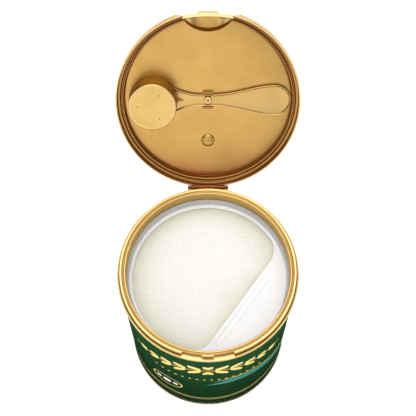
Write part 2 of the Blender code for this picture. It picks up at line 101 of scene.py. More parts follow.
@dataclass(frozen=True)
class Placement:
    """Where the tin's axis and hinge are, and how far its lid is open.

    Attributes:
        axis_y: the Y of the tin's axis.
        hinge_y: the Y of the hinge axis.
        hinge_z: the height of the hinge axis.
        open_angle: the angle between the closed and the shown lid, in radians.
    """

    axis_y: float
    hinge_y: float
    hinge_z: float
    open_angle: float

    @classmethod
    def from_frame(cls, frame: dict) -> "Placement":
        """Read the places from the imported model.


        Returns:
            The placement.
        """
        low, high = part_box("can_body")
        joint = frame["record"]["behaviour"]["joints"][0]
        return cls(axis_y=(low[1] + high[1]) / 2, hinge_y=joint["pos_m"][1], hinge_z=joint["pos_m"][2],
                   open_angle=math.radians(joint["range_deg"][1]))

    def upright(self, points: Array) -> Array:
        """Move points from the closed tin's frame to the scene's."""
        return points + np.array([0.0, self.axis_y, 0.0])

    def opened(self, points: Array) -> Array:
        """Swing points of the closed lid open: a turn about the hinge axis by the open angle.

        Args:
            points: places in the closed tin's frame.

        Returns:
            The places in the scene.
        """
        x, y, z = np.moveaxis(self.upright(points), -1, 0)
        y, z = y - self.hinge_y, z - self.hinge_z
        cos, sin = math.cos(self.open_angle), math.sin(self.open_angle)
        return np.stack([x, self.hinge_y + y * cos + z * sin, self.hinge_z - y * sin + z * cos], axis=-1)


@dataclass
class Patch:
    """A grid of points that depend on two parameters.

    Attributes:
        points: the grid, of shape (rows, columns, 3).
        around: whether the last row joins the first.
        looped: whether the last column joins the first.
    """

    points: Array
    around: bool = True
    looped: bool = False

    def quads(self, first: int) -> Array:
        """Number the corners of the grid's quads.

        Args:
            first: the number of the grid's first point.

        Returns:
            An array of four numbers for each quad.
        """
        rows, columns = self.points.shape[:2]
        row, column = np.meshgrid(np.arange(rows if self.around else rows - 1),
                                  np.arange(columns if self.looped else columns - 1), indexing="ij")
        next_row, next_column = (row + 1) % rows, (column + 1) % columns
        corners = [row * columns + column, next_row * columns + column,
                   next_row * columns + next_column, row * columns + next_column]
        return np.stack(corners, axis=-1).reshape(-1, 4) + first


def smooth_step(value: Array, low: float, high: float) -> Array:
    """Rise from 0 at low to 1 at high along 3t^2 - 2t^3."""
    t = np.clip((value - low) / (high - low), 0.0, 1.0)
    return t * t * (3.0 - 2.0 * t)


def soften(outline: Array, reach: float, steps: int = 4, closed: bool = True) -> Array:
    """Round an outline's corners.

    Each corner becomes a quadratic curve. It starts the reach before the corner and ends the reach after
    it, or 0.45 of the shorter side where that is less, and is pulled towards the corner between.

    Args:
        outline: corners, of shape (..., corners, 2).
        reach: how far from a corner its curve starts.
        steps: points on each curve.
        closed: whether the outline closes on itself; an open one keeps its two ends.

    Returns:
        The rounded outline, of shape (..., points, 2).
    """
    back = np.roll(outline, 1, axis=-2) - outline
    ahead = np.roll(outline, -1, axis=-2) - outline
    back_length = np.linalg.norm(back, axis=-1, keepdims=True) + 1e-12
    ahead_length = np.linalg.norm(ahead, axis=-1, keepdims=True) + 1e-12
    cut = np.minimum(reach, 0.45 * np.minimum(back_length, ahead_length))
    start = (outline + back / back_length * cut)[..., None, :]
    end = (outline + ahead / ahead_length * cut)[..., None, :]
    t = np.linspace(0.0, 1.0, steps)[:, None]
    curve = (1 - t) ** 2 * start + 2 * t * (1 - t) * outline[..., None, :] + t ** 2 * end
    if closed:
        return curve.reshape(*outline.shape[:-2], -1, 2)
    middle = curve[..., 1:-1, :, :].reshape(*outline.shape[:-2], -1, 2)
    return np.concatenate([outline[..., :1, :], middle, outline[..., -1:, :]], axis=-2)


def revolve(section: Array, angles: Array, centre: tuple[float, float] = (0.0, 0.0)) -> Array:
    """Carry a cross-section round an upright axis: x = r cos(angle), y = r sin(angle), z = height.

    Args:
        section: (radius, height) points, one section for all angles or one for each.
        angles: the angles, in radians.
        centre: the x and y of the axis.

    Returns:
        A grid of points, one row for each angle.
    """
    section = np.broadcast_to(section, (len(angles), *section.shape[-2:]))
    radius, height = section[..., 0], section[..., 1]
    turn = angles[:, None]
    return np.stack([centre[0] + radius * np.cos(turn), centre[1] + radius * np.sin(turn), height], axis=-1)


def even_turn(count: int) -> Array:
    """Space angles evenly round a full turn."""
    return np.linspace(0.0, FULL_TURN, count, endpoint=False)


def turn_with_knots(count: int, dense: tuple[float, float, int], edges: tuple[float, ...]) -> Array:
    """Space angles round a turn, closer over one stretch and on both sides of each sharp edge.

    Args:
        count: how many angles are spread over the whole turn.
        dense: the stretch's middle, its half width and how many angles it gets.
        edges: the angles of sharp edges.

    Returns:
        The angles, in rising order.
    """
    hair = math.radians(0.03)
    middle, half, extra = dense
    sharp = np.concatenate([np.array(edges) - hair, np.array(edges) + hair])
    parts = [even_turn(count), np.linspace(middle - half, middle + half, extra), sharp]
    return np.unique(np.round(np.mod(np.concatenate(parts), FULL_TURN), 7))


def bar(section: Array, half_length: float, edge: float) -> Array:
    """Carry a closed section along a straight line, with a fine groove sunk into each of its ends.

    The groove runs inside the section's outline and goes in along a quarter circle. From its bottom the
    end rises again to a point in its middle.

    Args:
        section: a closed outline, of shape (points, 2).
        half_length: half of the bar's length.
        edge: the groove's width and depth.

    Returns:
        A grid of (along, first, second) points, one row for each place along the bar.
    """
    bend = np.linspace(0.0, math.pi / 2, 4)
    shrunk = edge * (1 - np.sin(bend))
    closed = [1.0]  # an inset wider than any section leaves only its middle
    inset = np.concatenate([closed, shrunk, shrunk[::-1], closed])
    out = half_length - edge * (1 - np.cos(bend))
    along = np.concatenate([[-half_length], -out[::-1], out, [half_length]])
    middle = (section.max(axis=0) + section.min(axis=0)) / 2
    half = (section.max(axis=0) - section.min(axis=0)) / 2
    scale = np.clip(1 - inset[:, None, None] / half, 0.0, 1.0)
    placed = middle + (section[None] - middle) * scale
    along = np.broadcast_to(along[:, None], placed.shape[:2])
    return np.concatenate([along[..., None], placed], axis=-1)


def rectangle(low: tuple[float, float], high: tuple[float, float], edge: float) -> Array:
    """Make a rectangle with rounded corners."""
    (left, bottom), (right, top) = low, high
    return soften(np.array([[left, bottom], [right, bottom], [right, top], [left, top]]), edge)


def wave_field(x: Array, y: Array, length: float, seed: int, waves: int = 28) -> Array:
    """Mix plane waves of about one length and seeded directions into a smooth uneven field.

    Each wave is a sine of the distance along its direction, and is 0.6 to 1.6 times the middle length.
    Their sum is scaled to a spread of about 1.

    Args:
        x: first coordinates.
        y: second coordinates.
        length: the middle wave length.
        seed: the seed of the draw.
        waves: how many waves are mixed.

    Returns:
        The field's values.
    """
    draw = np.random.default_rng(seed)
    heading = draw.uniform(0.0, FULL_TURN, waves)
    number = FULL_TURN / (length * draw.uniform(0.6, 1.6, waves))
    phase = draw.uniform(0.0, FULL_TURN, waves)
    total = np.zeros_like(x)
    for angle, rate, start in zip(heading, number, phase):
        total += np.sin((x * math.cos(angle) + y * math.sin(angle)) * rate + start)
    return total / math.sqrt(waves / 2)


def band(value: Array, low: float, high: float, soft: float) -> Array:
    """Give 1 between low and high, falling smoothly to 0 over a soft margin outside them."""
    return smooth_step(value, low - soft, low) * (1.0 - smooth_step(value, high, high + soft))


def make_piece(name: str, patches: list[Patch], place: Callable[[Array], Array],
               shade: Optional[Callable[[Array], Array]] = None, sharp: float = 32.0) -> bpy.types.Object:
    """Join patches into one mesh object with smooth, outward faces.

    Args:
        name: the piece's name.
        patches: the grids it is made of.
        place: the placement that takes each point into the scene.
        shade: gives each unplaced point the number that its finish reads as the attribute "shade".
        sharp: the angle in degrees past which an edge stays sharp.

    Returns:
        The new object.
    """
    counts = np.cumsum([0] + [patch.points.shape[0] * patch.points.shape[1] for patch in patches])
    unplaced = np.concatenate([patch.points.reshape(-1, 3) for patch in patches])
    points = place(unplaced)
    quads = np.concatenate([patch.quads(int(first)) for patch, first in zip(patches, counts)])
    mesh = bpy.data.meshes.new(name)
    mesh.vertices.add(len(points))
    mesh.vertices.foreach_set("co", points.ravel())
    mesh.loops.add(quads.size)
    mesh.loops.foreach_set("vertex_index", quads.ravel())
    mesh.polygons.add(len(quads))
    mesh.polygons.foreach_set("loop_start", np.arange(0, quads.size, 4))
    mesh.update(calc_edges=True)
    if shade is not None:
        layer = mesh.attributes.new("shade", "FLOAT", "POINT")
        layer.data.foreach_set("value", shade(unplaced))
    bm = bmesh.new()
    bm.from_mesh(mesh)
    bmesh.ops.remove_doubles(bm, verts=bm.verts, dist=SAME_POINT)
    bmesh.ops.recalc_face_normals(bm, faces=bm.faces)
    bm.to_mesh(mesh)
    bm.free()
    mesh.shade_smooth()
    mesh.set_sharp_from_angle(angle=math.radians(sharp))
    piece = bpy.data.objects.new(name, mesh)
    bpy.context.scene.collection.objects.link(piece)
    return piece


def make_open_piece(name: str, patches: list[Patch], place: Placement,
                    shade: Callable[[Array, Array, Array], Array]) -> bpy.types.Object:
    """Make a piece of the closed lid and swing it open.

    Args:
        name: the piece's name.
        patches: the grids it is made of, with heights above the closed lid's rim.
        place: the placement.
        shade: gives the stored number from x, y and the height above the rim.

    Returns:
        The new object.
    """
    for patch in patches:
        patch.points[..., 2] += place.hinge_z

    def shade_closed(points: Array) -> Array:
        """Shade points in the closed tin's frame."""
        return shade(points[:, 0], points[:, 1], points[:, 2] - place.hinge_z)

    return make_piece(name, patches, place.opened, shade_closed)


def declare(piece: bpy.types.Object, body: Body, slot: Slot, material: bpy.types.Material,
            *nodes: str) -> None:
    """Give a piece its material and its body, and hide the nodes that it stands for.

    Args:
        piece: the piece.
        body: the body it rides on.
        slot: the record's slot that its finish belongs to; not used.
        material: its material.
        nodes: the CAD nodes it replaces.
    """
    piece.data.materials.append(material)
    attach(piece, body.value)
    if nodes:
        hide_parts(*nodes)
    LOG.info("%s: %d faces on body %s", piece.name, len(piece.data.polygons), body.value)


def linear(red: int, green: int, blue: int) -> Colour:
    """Turn an sRGB colour of 0 to 255 into the linear colour that a shader takes."""
    parts = [value / 255 for value in (red, green, blue)]
    return tuple(c / 12.92 if c <= 0.04045 else ((c + 0.055) / 1.055) ** 2.4 for c in parts)


class Value:
    """A number that varies over a surface: a shader socket, with the arithmetic that adds Math nodes."""

    def __init__(self, graph: "Graph", socket: bpy.types.NodeSocket) -> None:
        """Wrap a socket of a graph."""
        self.graph = graph
        self.socket = socket

    def math(self, operation: str, *others: Union[float, "Value"]) -> "Value":
        """Add a Math node that takes this value first.

        Args:
            operation: the Math node's operation.
            others: what its other sockets take.

        Returns:
            The node's result.
        """
        return self.graph.math(operation, self, *others)

    def __add__(self, other: Union[float, "Value"]) -> "Value":
        """Add."""
        return self.math("ADD", other)

    def __radd__(self, other: float) -> "Value":
        """Add to a number."""
        return self.math("ADD", other)

    def __sub__(self, other: Union[float, "Value"]) -> "Value":
        """Subtract."""
        return self.math("SUBTRACT", other)

    def __rsub__(self, other: float) -> "Value":
        """Subtract from a number."""
        return self.graph.math("SUBTRACT", other, self)

    def __mul__(self, other: Union[float, "Value"]) -> "Value":
        """Multiply."""
        return self.math("MULTIPLY", other)

    def __rmul__(self, other: float) -> "Value":
        """Multiply a number."""
        return self.math("MULTIPLY", other)

    def __truediv__(self, other: Union[float, "Value"]) -> "Value":
        """Divide."""
        return self.math("DIVIDE", other)

    def __abs__(self) -> "Value":
        """Take the size without its sign."""
        return self.math("ABSOLUTE")

    def rise(self, low: float, high: float) -> "Value":
        """Rise smoothly from 0 at low to 1 at high.

        Args:
            low: the value that gives 0.
            high: the value that gives 1.

        Returns:
            The smooth step.
        """
        node = self.graph.node("ShaderNodeMapRange", {"interpolation_type": "SMOOTHSTEP", "clamp": True},
                               {"Value": self, "From Min": low, "From Max": high})
        return Value(self.graph, node.outputs["Result"])


Input = Union[float, Colour, Value, bpy.types.NodeSocket]


class Graph:
    """The nodes of one material, or of the world."""

    def __init__(self, owner: Union[bpy.types.Material, bpy.types.World], shader: str) -> None:
        """Start on a new material or world.

        Args:
            owner: the material or world.
            shader: the name of its main node.
        """
        owner.use_nodes = True
        self.owner = owner
        self.tree = owner.node_tree
        self.shader = self.tree.nodes[shader]

    @classmethod
    def of_material(cls, name: str) -> "Graph":
        """Start a material with an empty Principled shader."""
        return cls(bpy.data.materials.new(name), "Principled BSDF")

    def node(self, kind: str, settings: Optional[dict] = None, inputs: Optional[dict] = None
             ) -> bpy.types.Node:
        """Add a node.

        Args:
            kind: the node's type.
            settings: its settings, and a ramp's stops as pairs of place and colour.
            inputs: what its sockets take, by name or number.

        Returns:
            The node.
        """
        node = self.tree.nodes.new(kind)
        for key, value in (settings or {}).items():
            if key == "stops":
                self._set_stops(node.color_ramp, value)
            else:
                setattr(node, key, value)
        for key, value in (inputs or {}).items():
            self.feed(node.inputs[key], value)
        return node

    @staticmethod
    def _set_stops(ramp: bpy.types.ColorRamp, stops: list[tuple[float, Colour]]) -> None:
        """Put a ramp's stops in place, with eased steps between them.

        Args:
            ramp: the ramp.
            stops: pairs of place and colour.
        """
        ramp.interpolation = "EASE"
        while len(ramp.elements) < len(stops):
            ramp.elements.new(1.0)
        for element, (place, colour) in zip(ramp.elements, stops):
            element.position = place
            element.color = (*colour, 1.0)

    def feed(self, socket: bpy.types.NodeSocket, value: Input) -> None:
        """Link a value to a socket, or set the socket to a number or colour.

        Args:
            socket: the node's input.
            value: what it takes.
        """
        if isinstance(value, Value):
            self.tree.links.new(value.socket, socket)
        elif isinstance(value, bpy.types.NodeSocket):
            self.tree.links.new(value, socket)
        elif isinstance(value, tuple) and socket.type == "RGBA":
            socket.default_value = (*value, 1.0)
        else:
            socket.default_value = value

    def math(self, operation: str, *values: Union[float, Value]) -> Value:
        """Add a Math node on one to three values."""
        node = self.node("ShaderNodeMath", {"operation": operation}, dict(enumerate(values)))
        return Value(self, node.outputs["Value"])

    def mix(self, factor: Input, first: Input, second: Input) -> bpy.types.NodeSocket:
        """Mix two colours.

        Args:
            factor: how much of the second shows.
            first: the colour at 0.
            second: the colour at 1.

        Returns:
            The mixed colour's socket.
        """
        node = self.node("ShaderNodeMix", {"data_type": "RGBA"}, {0: factor, 6: first, 7: second})
        return node.outputs[2]

    def position(self) -> bpy.types.NodeSocket:
        """Give the Object coordinates."""
        return self.node("ShaderNodeTexCoord").outputs["Object"]

    def shade(self) -> Value:
        """Give the painted shade and highlight that the piece's points store."""
        return Value(self, self.node("ShaderNodeAttribute", {"attribute_name": "shade"}).outputs["Fac"])

    def noise(self, scale: float, detail: float = 2.0, roughness: float = 0.5) -> Value:
        """Add a Noise texture on the Object coordinates, of about 0 to 1.

        Args:
            scale: the noise's waves per metre.
            detail: how many finer layers it has.
            roughness: how strong the finer layers are.

        Returns:
            The noise's strength.
        """
        node = self.node("ShaderNodeTexNoise", {}, {"Vector": self.position(), "Scale": scale,
                                                    "Detail": detail, "Roughness": roughness})
        return Value(self, node.outputs[0])

    def bump(self, height: Value, strength: float, distance: float) -> None:
        """Raise the surface's grain by a height, through the shader's Normal.

        Args:
            height: the grain's height.
            strength: how much the grain shows.
            distance: the depth of a height of 1, in metres.
        """
        node = self.node("ShaderNodeBump", {}, {"Height": height, "Strength": strength,
                                                "Distance": distance})
        self.feed(self.shader.inputs["Normal"], node.outputs["Normal"])

    def set(self, **values: Input) -> Union[bpy.types.Material, bpy.types.World]:
        """Set the shader's sockets, named with underscores for spaces.

        Args:
            values: what each socket takes.

        Returns:
            The material or world.
        """
        for name, value in values.items():
            self.feed(self.shader.inputs[name.replace("_", " ")], value)
        return self.owner


@dataclass(frozen=True)
class GoldPlastic:
    """Satin plastic with metallic gold pigment: painted highlight on raised rims, painted shade in grooves.

    Attributes:
        name: the material's name.
        light: the colour where the pigment lies flat.
        deep: the colour where it is denser.
        rim: the painted highlight colour on rims, where the stored shade is 1.
        brown: the painted shade colour in grooves, where it is -1.
        roughness: the lowest roughness, which the flow marks raise by up to 0.06.
        flow_scale: the flow marks' waves per metre.
        flake_scale: the pigment grain's waves per metre.
    """

    name: str
    light: Colour
    deep: Colour
    # painted highlight colour (rim) and painted shade colour (brown)
    rim: Colour = linear(246, 224, 164)
    brown: Colour = linear(126, 62, 25)
    roughness: float = 0.31
    flow_scale: float = 28.0
    flake_scale: float = 5200.0

    def make(self) -> bpy.types.Material:
        """Mix two golds by slow flow marks, paint rim highlight and groove shade, add the pigment's fine
        grain.

        Returns:
            The material.
        """
        graph = Graph.of_material(self.name)
        flow = graph.noise(self.flow_scale, 3.0, 0.55)
        flakes = graph.noise(self.flake_scale, 1.0)
        shade = graph.shade()
        colour = graph.mix(flow.rise(0.35, 0.68), self.light, self.deep)
        # painted highlight where the stored shade is above 0, painted shade where it is below 0
        colour = graph.mix(shade.math("MAXIMUM", 0.0), colour, self.rim)
        colour = graph.mix((0.0 - shade).math("MAXIMUM", 0.0), colour, self.brown)
        graph.bump(flakes, 0.06, 0.00005)
        return graph.set(Base_Color=colour, Metallic=1.0, Roughness=self.roughness + flow * 0.06,
                         Specular_Tint=self.rim, Coat_Weight=0.3, Coat_Roughness=0.2)


MOULDED_GOLD = GoldPlastic("gold_plastic", light=linear(190, 152, 82), deep=linear(183, 143, 74))
# the same gold plastic painted paler, as painted light for the brighter-lit collar and scoop
BRIGHTER_LIT_GOLD = GoldPlastic("pale_gold_plastic", light=linear(198, 165, 100), deep=linear(191, 156, 90))


@dataclass(frozen=True)
class WhitePlastic:
    """Smooth moulded plastic: white where it is lit, with painted shade as grey on the upright wall.

    Attributes:
        wall_from: the height where the wall starts.
        wall_to: the height from which the painted shade is fully grey.
        name: the material's name.
        colour: the lit colour.
        flowed: the lit colour in the flow marks.
        grey_wall_shade: the painted shade grey of the upright wall.
        flow_scale: the flow marks' waves per metre.
        grain_scale: the moulded grain's waves per metre.
    """

    wall_from: float
    wall_to: float
    name: str = "white_plastic"
    colour: Colour = linear(244, 244, 244)
    flowed: Colour = linear(240, 240, 241)
    grey_wall_shade: Colour = linear(186, 185, 186)
    flow_scale: float = 40.0
    grain_scale: float = 900.0

    def make(self) -> bpy.types.Material:
        """Paint shade as grey on the wall by height, and give all of it flow marks and a fine moulded grain.

        Returns:
            The material.
        """
        graph = Graph.of_material(self.name)
        flow = graph.noise(self.flow_scale, 2.0)
        split = graph.node("ShaderNodeSeparateXYZ", {}, {0: graph.position()})
        height = Value(graph, split.outputs["Z"])
        lit_white = graph.mix(flow.rise(0.3, 0.75), self.colour, self.flowed)
        # painted shade: the upright wall turns grey with height
        colour = graph.mix(height.rise(self.wall_from, self.wall_to), lit_white, self.grey_wall_shade)
        graph.bump(graph.noise(self.grain_scale, 2.0), 0.04, 0.0001)
        return graph.set(Base_Color=colour, Roughness=0.3 + flow * 0.08, Specular_IOR_Level=0.5)


@dataclass(frozen=True)
class MilkPowder:
    """Fine cream powder: matt, with grains and soft crumbs, and painted shade near the lip and between
    grains.

    Attributes:
        name: the material's name.
        light: the colour in the middle.
        edge: the painted shade colour near the lip.
        shade: the painted shade colour between grains.
        grain_scale: the grains' waves per metre.
        crumb_scale: the crumbs' waves per metre.
        drift_scale: the waves per metre of what makes the painted shade near the lip uneven.
    """

    name: str = "milk_powder"
    light: Colour = linear(246, 246, 241)
    edge: Colour = linear(226, 224, 203)
    shade: Colour = linear(214, 212, 188)
    grain_scale: float = 2600.0
    crumb_scale: float = 620.0
    drift_scale: float = 70.0

    def make(self) -> bpy.types.Material:
        """Paint shade by the stored nearness to the lip and between crumbs and grains, and raise the grains.

        Returns:
            The material.
        """
        graph = Graph.of_material(self.name)
        near = graph.shade()
        grains = graph.noise(self.grain_scale, 2.0, 0.7)
        crumbs = graph.noise(self.crumb_scale, 3.0, 0.6)
        drifts = graph.noise(self.drift_scale, 3.0, 0.6)
        # painted shade: the cream darkens towards the lip
        body = graph.mix(near * (0.7 + drifts * 0.6), self.light, self.edge)
        tone = grains * 0.6 + crumbs * 0.4
        # painted shade between grains, stronger near the lip
        colour = graph.mix(tone.rise(0.56, 0.38) * (0.3 + near * 0.5), body, self.shade)
        graph.bump(tone, 0.5, 0.0004)
        return graph.set(Base_Color=colour, Roughness=0.95, Specular_IOR_Level=0.2)


@dataclass(frozen=True)
class TinPlate:
    """Gold-lacquered tinplate of the bottom end and its seam.

    Attributes:
        name: the material's name.
        light: the colour of a light coat of lacquer.
        deep: the colour of thick lacquer.
        mark_scale: the rolling marks' waves per metre.
    """

    name: str = "tin_plate"
    light: Colour = linear(136, 112, 72)
    deep: Colour = linear(98, 76, 44)
    mark_scale: float = 300.0

    def make(self) -> bpy.types.Material:
        """Mix light and deep lacquer by fine rolling marks.

        Returns:
            The material.
        """
        graph = Graph.of_material(self.name)
        marks = graph.noise(self.mark_scale, 3.0, 0.6)
        colour = graph.mix(marks.rise(0.3, 0.7), self.light, self.deep)
        graph.bump(marks, 0.05, 0.0001)
        return graph.set(Base_Color=colour, Metallic=1.0, Roughness=0.28 + marks * 0.12)


@dataclass(frozen=True)
class PrintedTin:
    """The printed wall: dark green with a gold leaf garland, a teal ribbon and a few white dots.

    The numbers of the print are millimetres: along the wall from the front's middle, and up from its foot.

    Attributes:
        axis_y: the Y of the tin's axis, which the print is wrapped round, in metres.
        radius: the radius that arc lengths are measured on, in metres.
        name: the material's name.
        green: the ground high on the wall.
        dark_green: the ground near the foot.
        gold: the leaves, lines and diamonds.
        teal: the ribbon.
        white: the dots.
        soft: how far a shape's edge fades, to each side.
    """

    axis_y: float
    radius: float
    name: str = "printed_tin"
    green: Colour = linear(32, 72, 42)
    dark_green: Colour = linear(22, 50, 28)
    gold: Colour = linear(250, 218, 132)
    teal: Colour = linear(70, 150, 140)
    white: Colour = linear(250, 250, 250)
    soft: float = 0.25

    def make(self) -> bpy.types.Material:
        """Lay the ribbon, the garland, the rows and the dots over the green, one after another.

        Along is the arc length from the front's middle, towards +X, and up is the height.

        Returns:
            The material.
        """
        graph = Graph.of_material(self.name)
        split = graph.node("ShaderNodeSeparateXYZ", {}, {0: graph.position()})
        x, y, z = (Value(graph, socket) for socket in split.outputs)
        along = graph.math("ARCTAN2", x, self.axis_y - y) * (self.radius * 1000)
        up = z * 1000
        streaks = graph.noise(70.0, 3.0, 0.6)
        green = graph.mix((up / 150 + streaks * 0.5 - 0.25).rise(0.15, 0.95), self.dark_green, self.green)
        ribbon, line = self._ribbon(graph, along, up)
        colour = graph.mix(ribbon, green, self.teal)
        gold = graph.math("MAXIMUM", self._garland(graph, along, up), line)
        gold = graph.math("MAXIMUM", gold, self._rows(graph, along, up))
        ring, dots = self._dots(graph, along, up)
        gold = graph.math("MAXIMUM", gold, ring)
        colour = graph.mix(gold, colour, self.gold)
        colour = graph.mix(dots, colour, self.white)
        graph.bump(gold * 0.6 + streaks * 0.05, 0.25, 0.00005)
        return graph.set(Base_Color=colour, Roughness=0.5 + streaks * 0.05, Specular_IOR_Level=0.0)

    def _inside(self, distance: Value) -> Value:
        """Turn a distance that is positive inside a shape into a mask with a soft edge."""
        return distance.rise(-self.soft, self.soft)

    def _garland(self, graph: Graph, along: Value, up: Value) -> Value:
        """Draw leaves in pairs along an arched stem.

        A leaf's half width is a sine of the distance from the stem, and leaves repeat along the stem,
        slanted away from the middle and smaller towards the ends.

        Args:
            graph: the material's graph.
            along: places along the wall.
            up: places up the wall.

        Returns:
            The mask of the leaves and the stem.
        """
        half_span, pitch, leaf_width, leaf_length = 62.0, 11.5, 3.9, 12.5
        stem_top, stem_fall, lean, twig_half = 121.0, 0.0040, 0.75, 0.55
        side = abs(along)
        stem = stem_top - side * side * stem_fall
        off = abs(up - stem)
        length = leaf_length * (1 - side * side / (half_span * half_span * 1.25))
        slant = side - off * lean
        place = (slant / pitch).math("FRACT") - 0.5
        bulge = (off / graph.math("MAXIMUM", length, 1.0)).math("MINIMUM", 1.0) * math.pi
        leaf = bulge.math("SINE") * leaf_width - abs(place) * pitch
        leaves = self._inside(leaf) * self._inside(length - off) * self._inside(half_span - side)
        twig = self._inside(twig_half - off) * self._inside(half_span - 2.0 - side)
        return graph.math("MAXIMUM", leaves, twig)

    def _ribbon(self, graph: Graph, along: Value, up: Value) -> tuple[Value, Value]:
        """Draw a waving teal ribbon on the right, and a gold line that follows it.

        The ribbon's middle waves as a sine, and its width grows from nothing and fades again along its run.

        Args:
            graph: the material's graph; not used.
            along: places along the wall.
            up: places up the wall.

        Returns:
            The masks of the ribbon and the line.
        """
        middle, swing, rate, start = 66.0, 13.0, 0.045, 0.6
        ribbon_half, line_half, line_gap, trim = 5.5, 0.95, 8.5, 0.3
        wave = middle + (along * rate + start).math("SINE") * swing
        off = up - wave
        run = (along + 6.0).rise(0.0, 26.0) * (104.0 - along).rise(0.0, 40.0)
        ribbon = self._inside(run * ribbon_half - trim - abs(off)) * 0.75
        line = self._inside(run * line_half - trim - abs(off - line_gap))
        return ribbon, line

    def _rows(self, graph: Graph, along: Value, up: Value) -> Value:
        """Draw a row of small diamonds and two thin hoops.

        Args:
            graph: the material's graph.
            along: places along the wall.
            up: places up the wall.

        Returns:
            The mask of the row and the hoops.
        """
        pitch, reach, row_up, row_half = 5.6, 1.35, 91.0, 46.0
        (hoop_up, hoop_half), (second_up, second_half) = (24.0, 0.45), (20.5, 0.3)
        place = abs((along / pitch).math("FRACT") - 0.5) * pitch
        diamond = reach - place - abs(up - row_up)
        row = self._inside(diamond) * self._inside(row_half - abs(along))
        hoop = self._inside(hoop_half - abs(up - hoop_up))
        second = self._inside(second_half - abs(up - second_up))
        return graph.math("MAXIMUM", row, graph.math("MAXIMUM", hoop, second))

    def _dots(self, graph: Graph, along: Value, up: Value) -> tuple[Value, Value]:
        """Draw three white dots in a gold ring, left of the middle.

        Args:
            graph: the material's graph.
            along: places along the wall.
            up: places up the wall.

        Returns:
            The masks of the ring and the dots.
        """
        left, middle_up, ring_radius, line_half = 34.0, 54.0, 13.0, 0.5
        large, small, apart = 3.6, 2.3, 7.4
        dx, dy = along + left, up - middle_up
        reach = (dx * dx + dy * dy).math("SQRT")
        ring = self._inside(line_half - abs(reach - ring_radius))
        dots = self._inside(large - reach)
        for side in (-1.0, 1.0):
            sx = dx - side * apart
            near = (sx * sx + dy * dy).math("SQRT")
            dots = graph.math("MAXIMUM", dots, self._inside(small - near))
        return ring, dots


@dataclass
class CanBody:
    """The printed wall of the tin and its bottom end.

    Attributes:
        radius: the wall's outer radius.
        wall: its thickness.
        top: the height of its upper edge.
        seam_radius: the outer radius of the bottom seam.
        seam_width: the seam's width.
        seam_height: the seam's height.
        recess: how far the bottom panel lies above the seam's foot.
        steps: how many steps go round the tin.
    """

    radius: float = 0.0635
    wall: float = 0.0010
    top: float = 0.1564
    seam_radius: float = 0.0640
    seam_width: float = 0.0024
    seam_height: float = 0.0030
    recess: float = 0.0025
    steps: int = 256

    def build(self, place: Placement) -> None:
        """Build the wall and the bottom end.

        Args:
            place: the placement.
        """
        turn = even_turn(self.steps)
        tube = Patch(revolve(self._wall_section(), turn), looped=True)
        wall = make_piece("tin_wall", [tube], place.upright)
        finish = PrintedTin(axis_y=place.axis_y, radius=self.radius)
        declare(wall, Body.TIN, Slot.PAINTED_TIN, finish.make(), "can_body")
        base = make_piece("tin_base", [Patch(revolve(self._base_section(), turn))], place.upright)
        declare(base, Body.TIN, Slot.PLAIN_TIN, TinPlate().make(), "can_base")

    def _wall_section(self) -> Array:
        """Outline the wall: outside from top to bottom, then inside back up.

        Returns:
            The outline, as (radius, height) points.
        """
        bore = self.radius - self.wall
        bottom = self.seam_height + 0.0002
        middle = np.linspace(self.top, bottom, 12)[1:-1]
        outside = np.stack([np.full_like(middle, self.radius), middle], axis=-1)
        corners = np.concatenate([[[self.radius, self.top]], outside,
                                  [[self.radius, bottom], [bore, bottom], [bore, self.top]]])
        return soften(corners, 0.0002, 3)

    def _base_section(self) -> Array:
        """Outline the bottom end from the panel's middle over the seam and back to the middle.

        Returns:
            The outline, as (radius, height) points.
        """
        inner = self.seam_radius - self.seam_width
        step_radius, step, sheet, edge = 0.010, 0.0003, 0.0008, 0.0005
        corners = np.array([
            [0.0, self.recess],
            [inner - 2 * step_radius, self.recess],
            [inner - 1.8 * step_radius, self.recess + step],
            [inner - sheet, self.recess + step],
            [inner, 0.0004],
            [inner + edge, 0.0],
            [self.seam_radius - edge, 0.0],
            [self.seam_radius, edge],
            [self.seam_radius, self.seam_height - 0.0006],
            [self.seam_radius - 0.0004, self.seam_height],
            [inner + 0.0004, self.seam_height],
            [inner, self.recess + sheet],
            [0.0, self.recess + sheet],
        ])
        return soften(corners, edge, 4, closed=False)


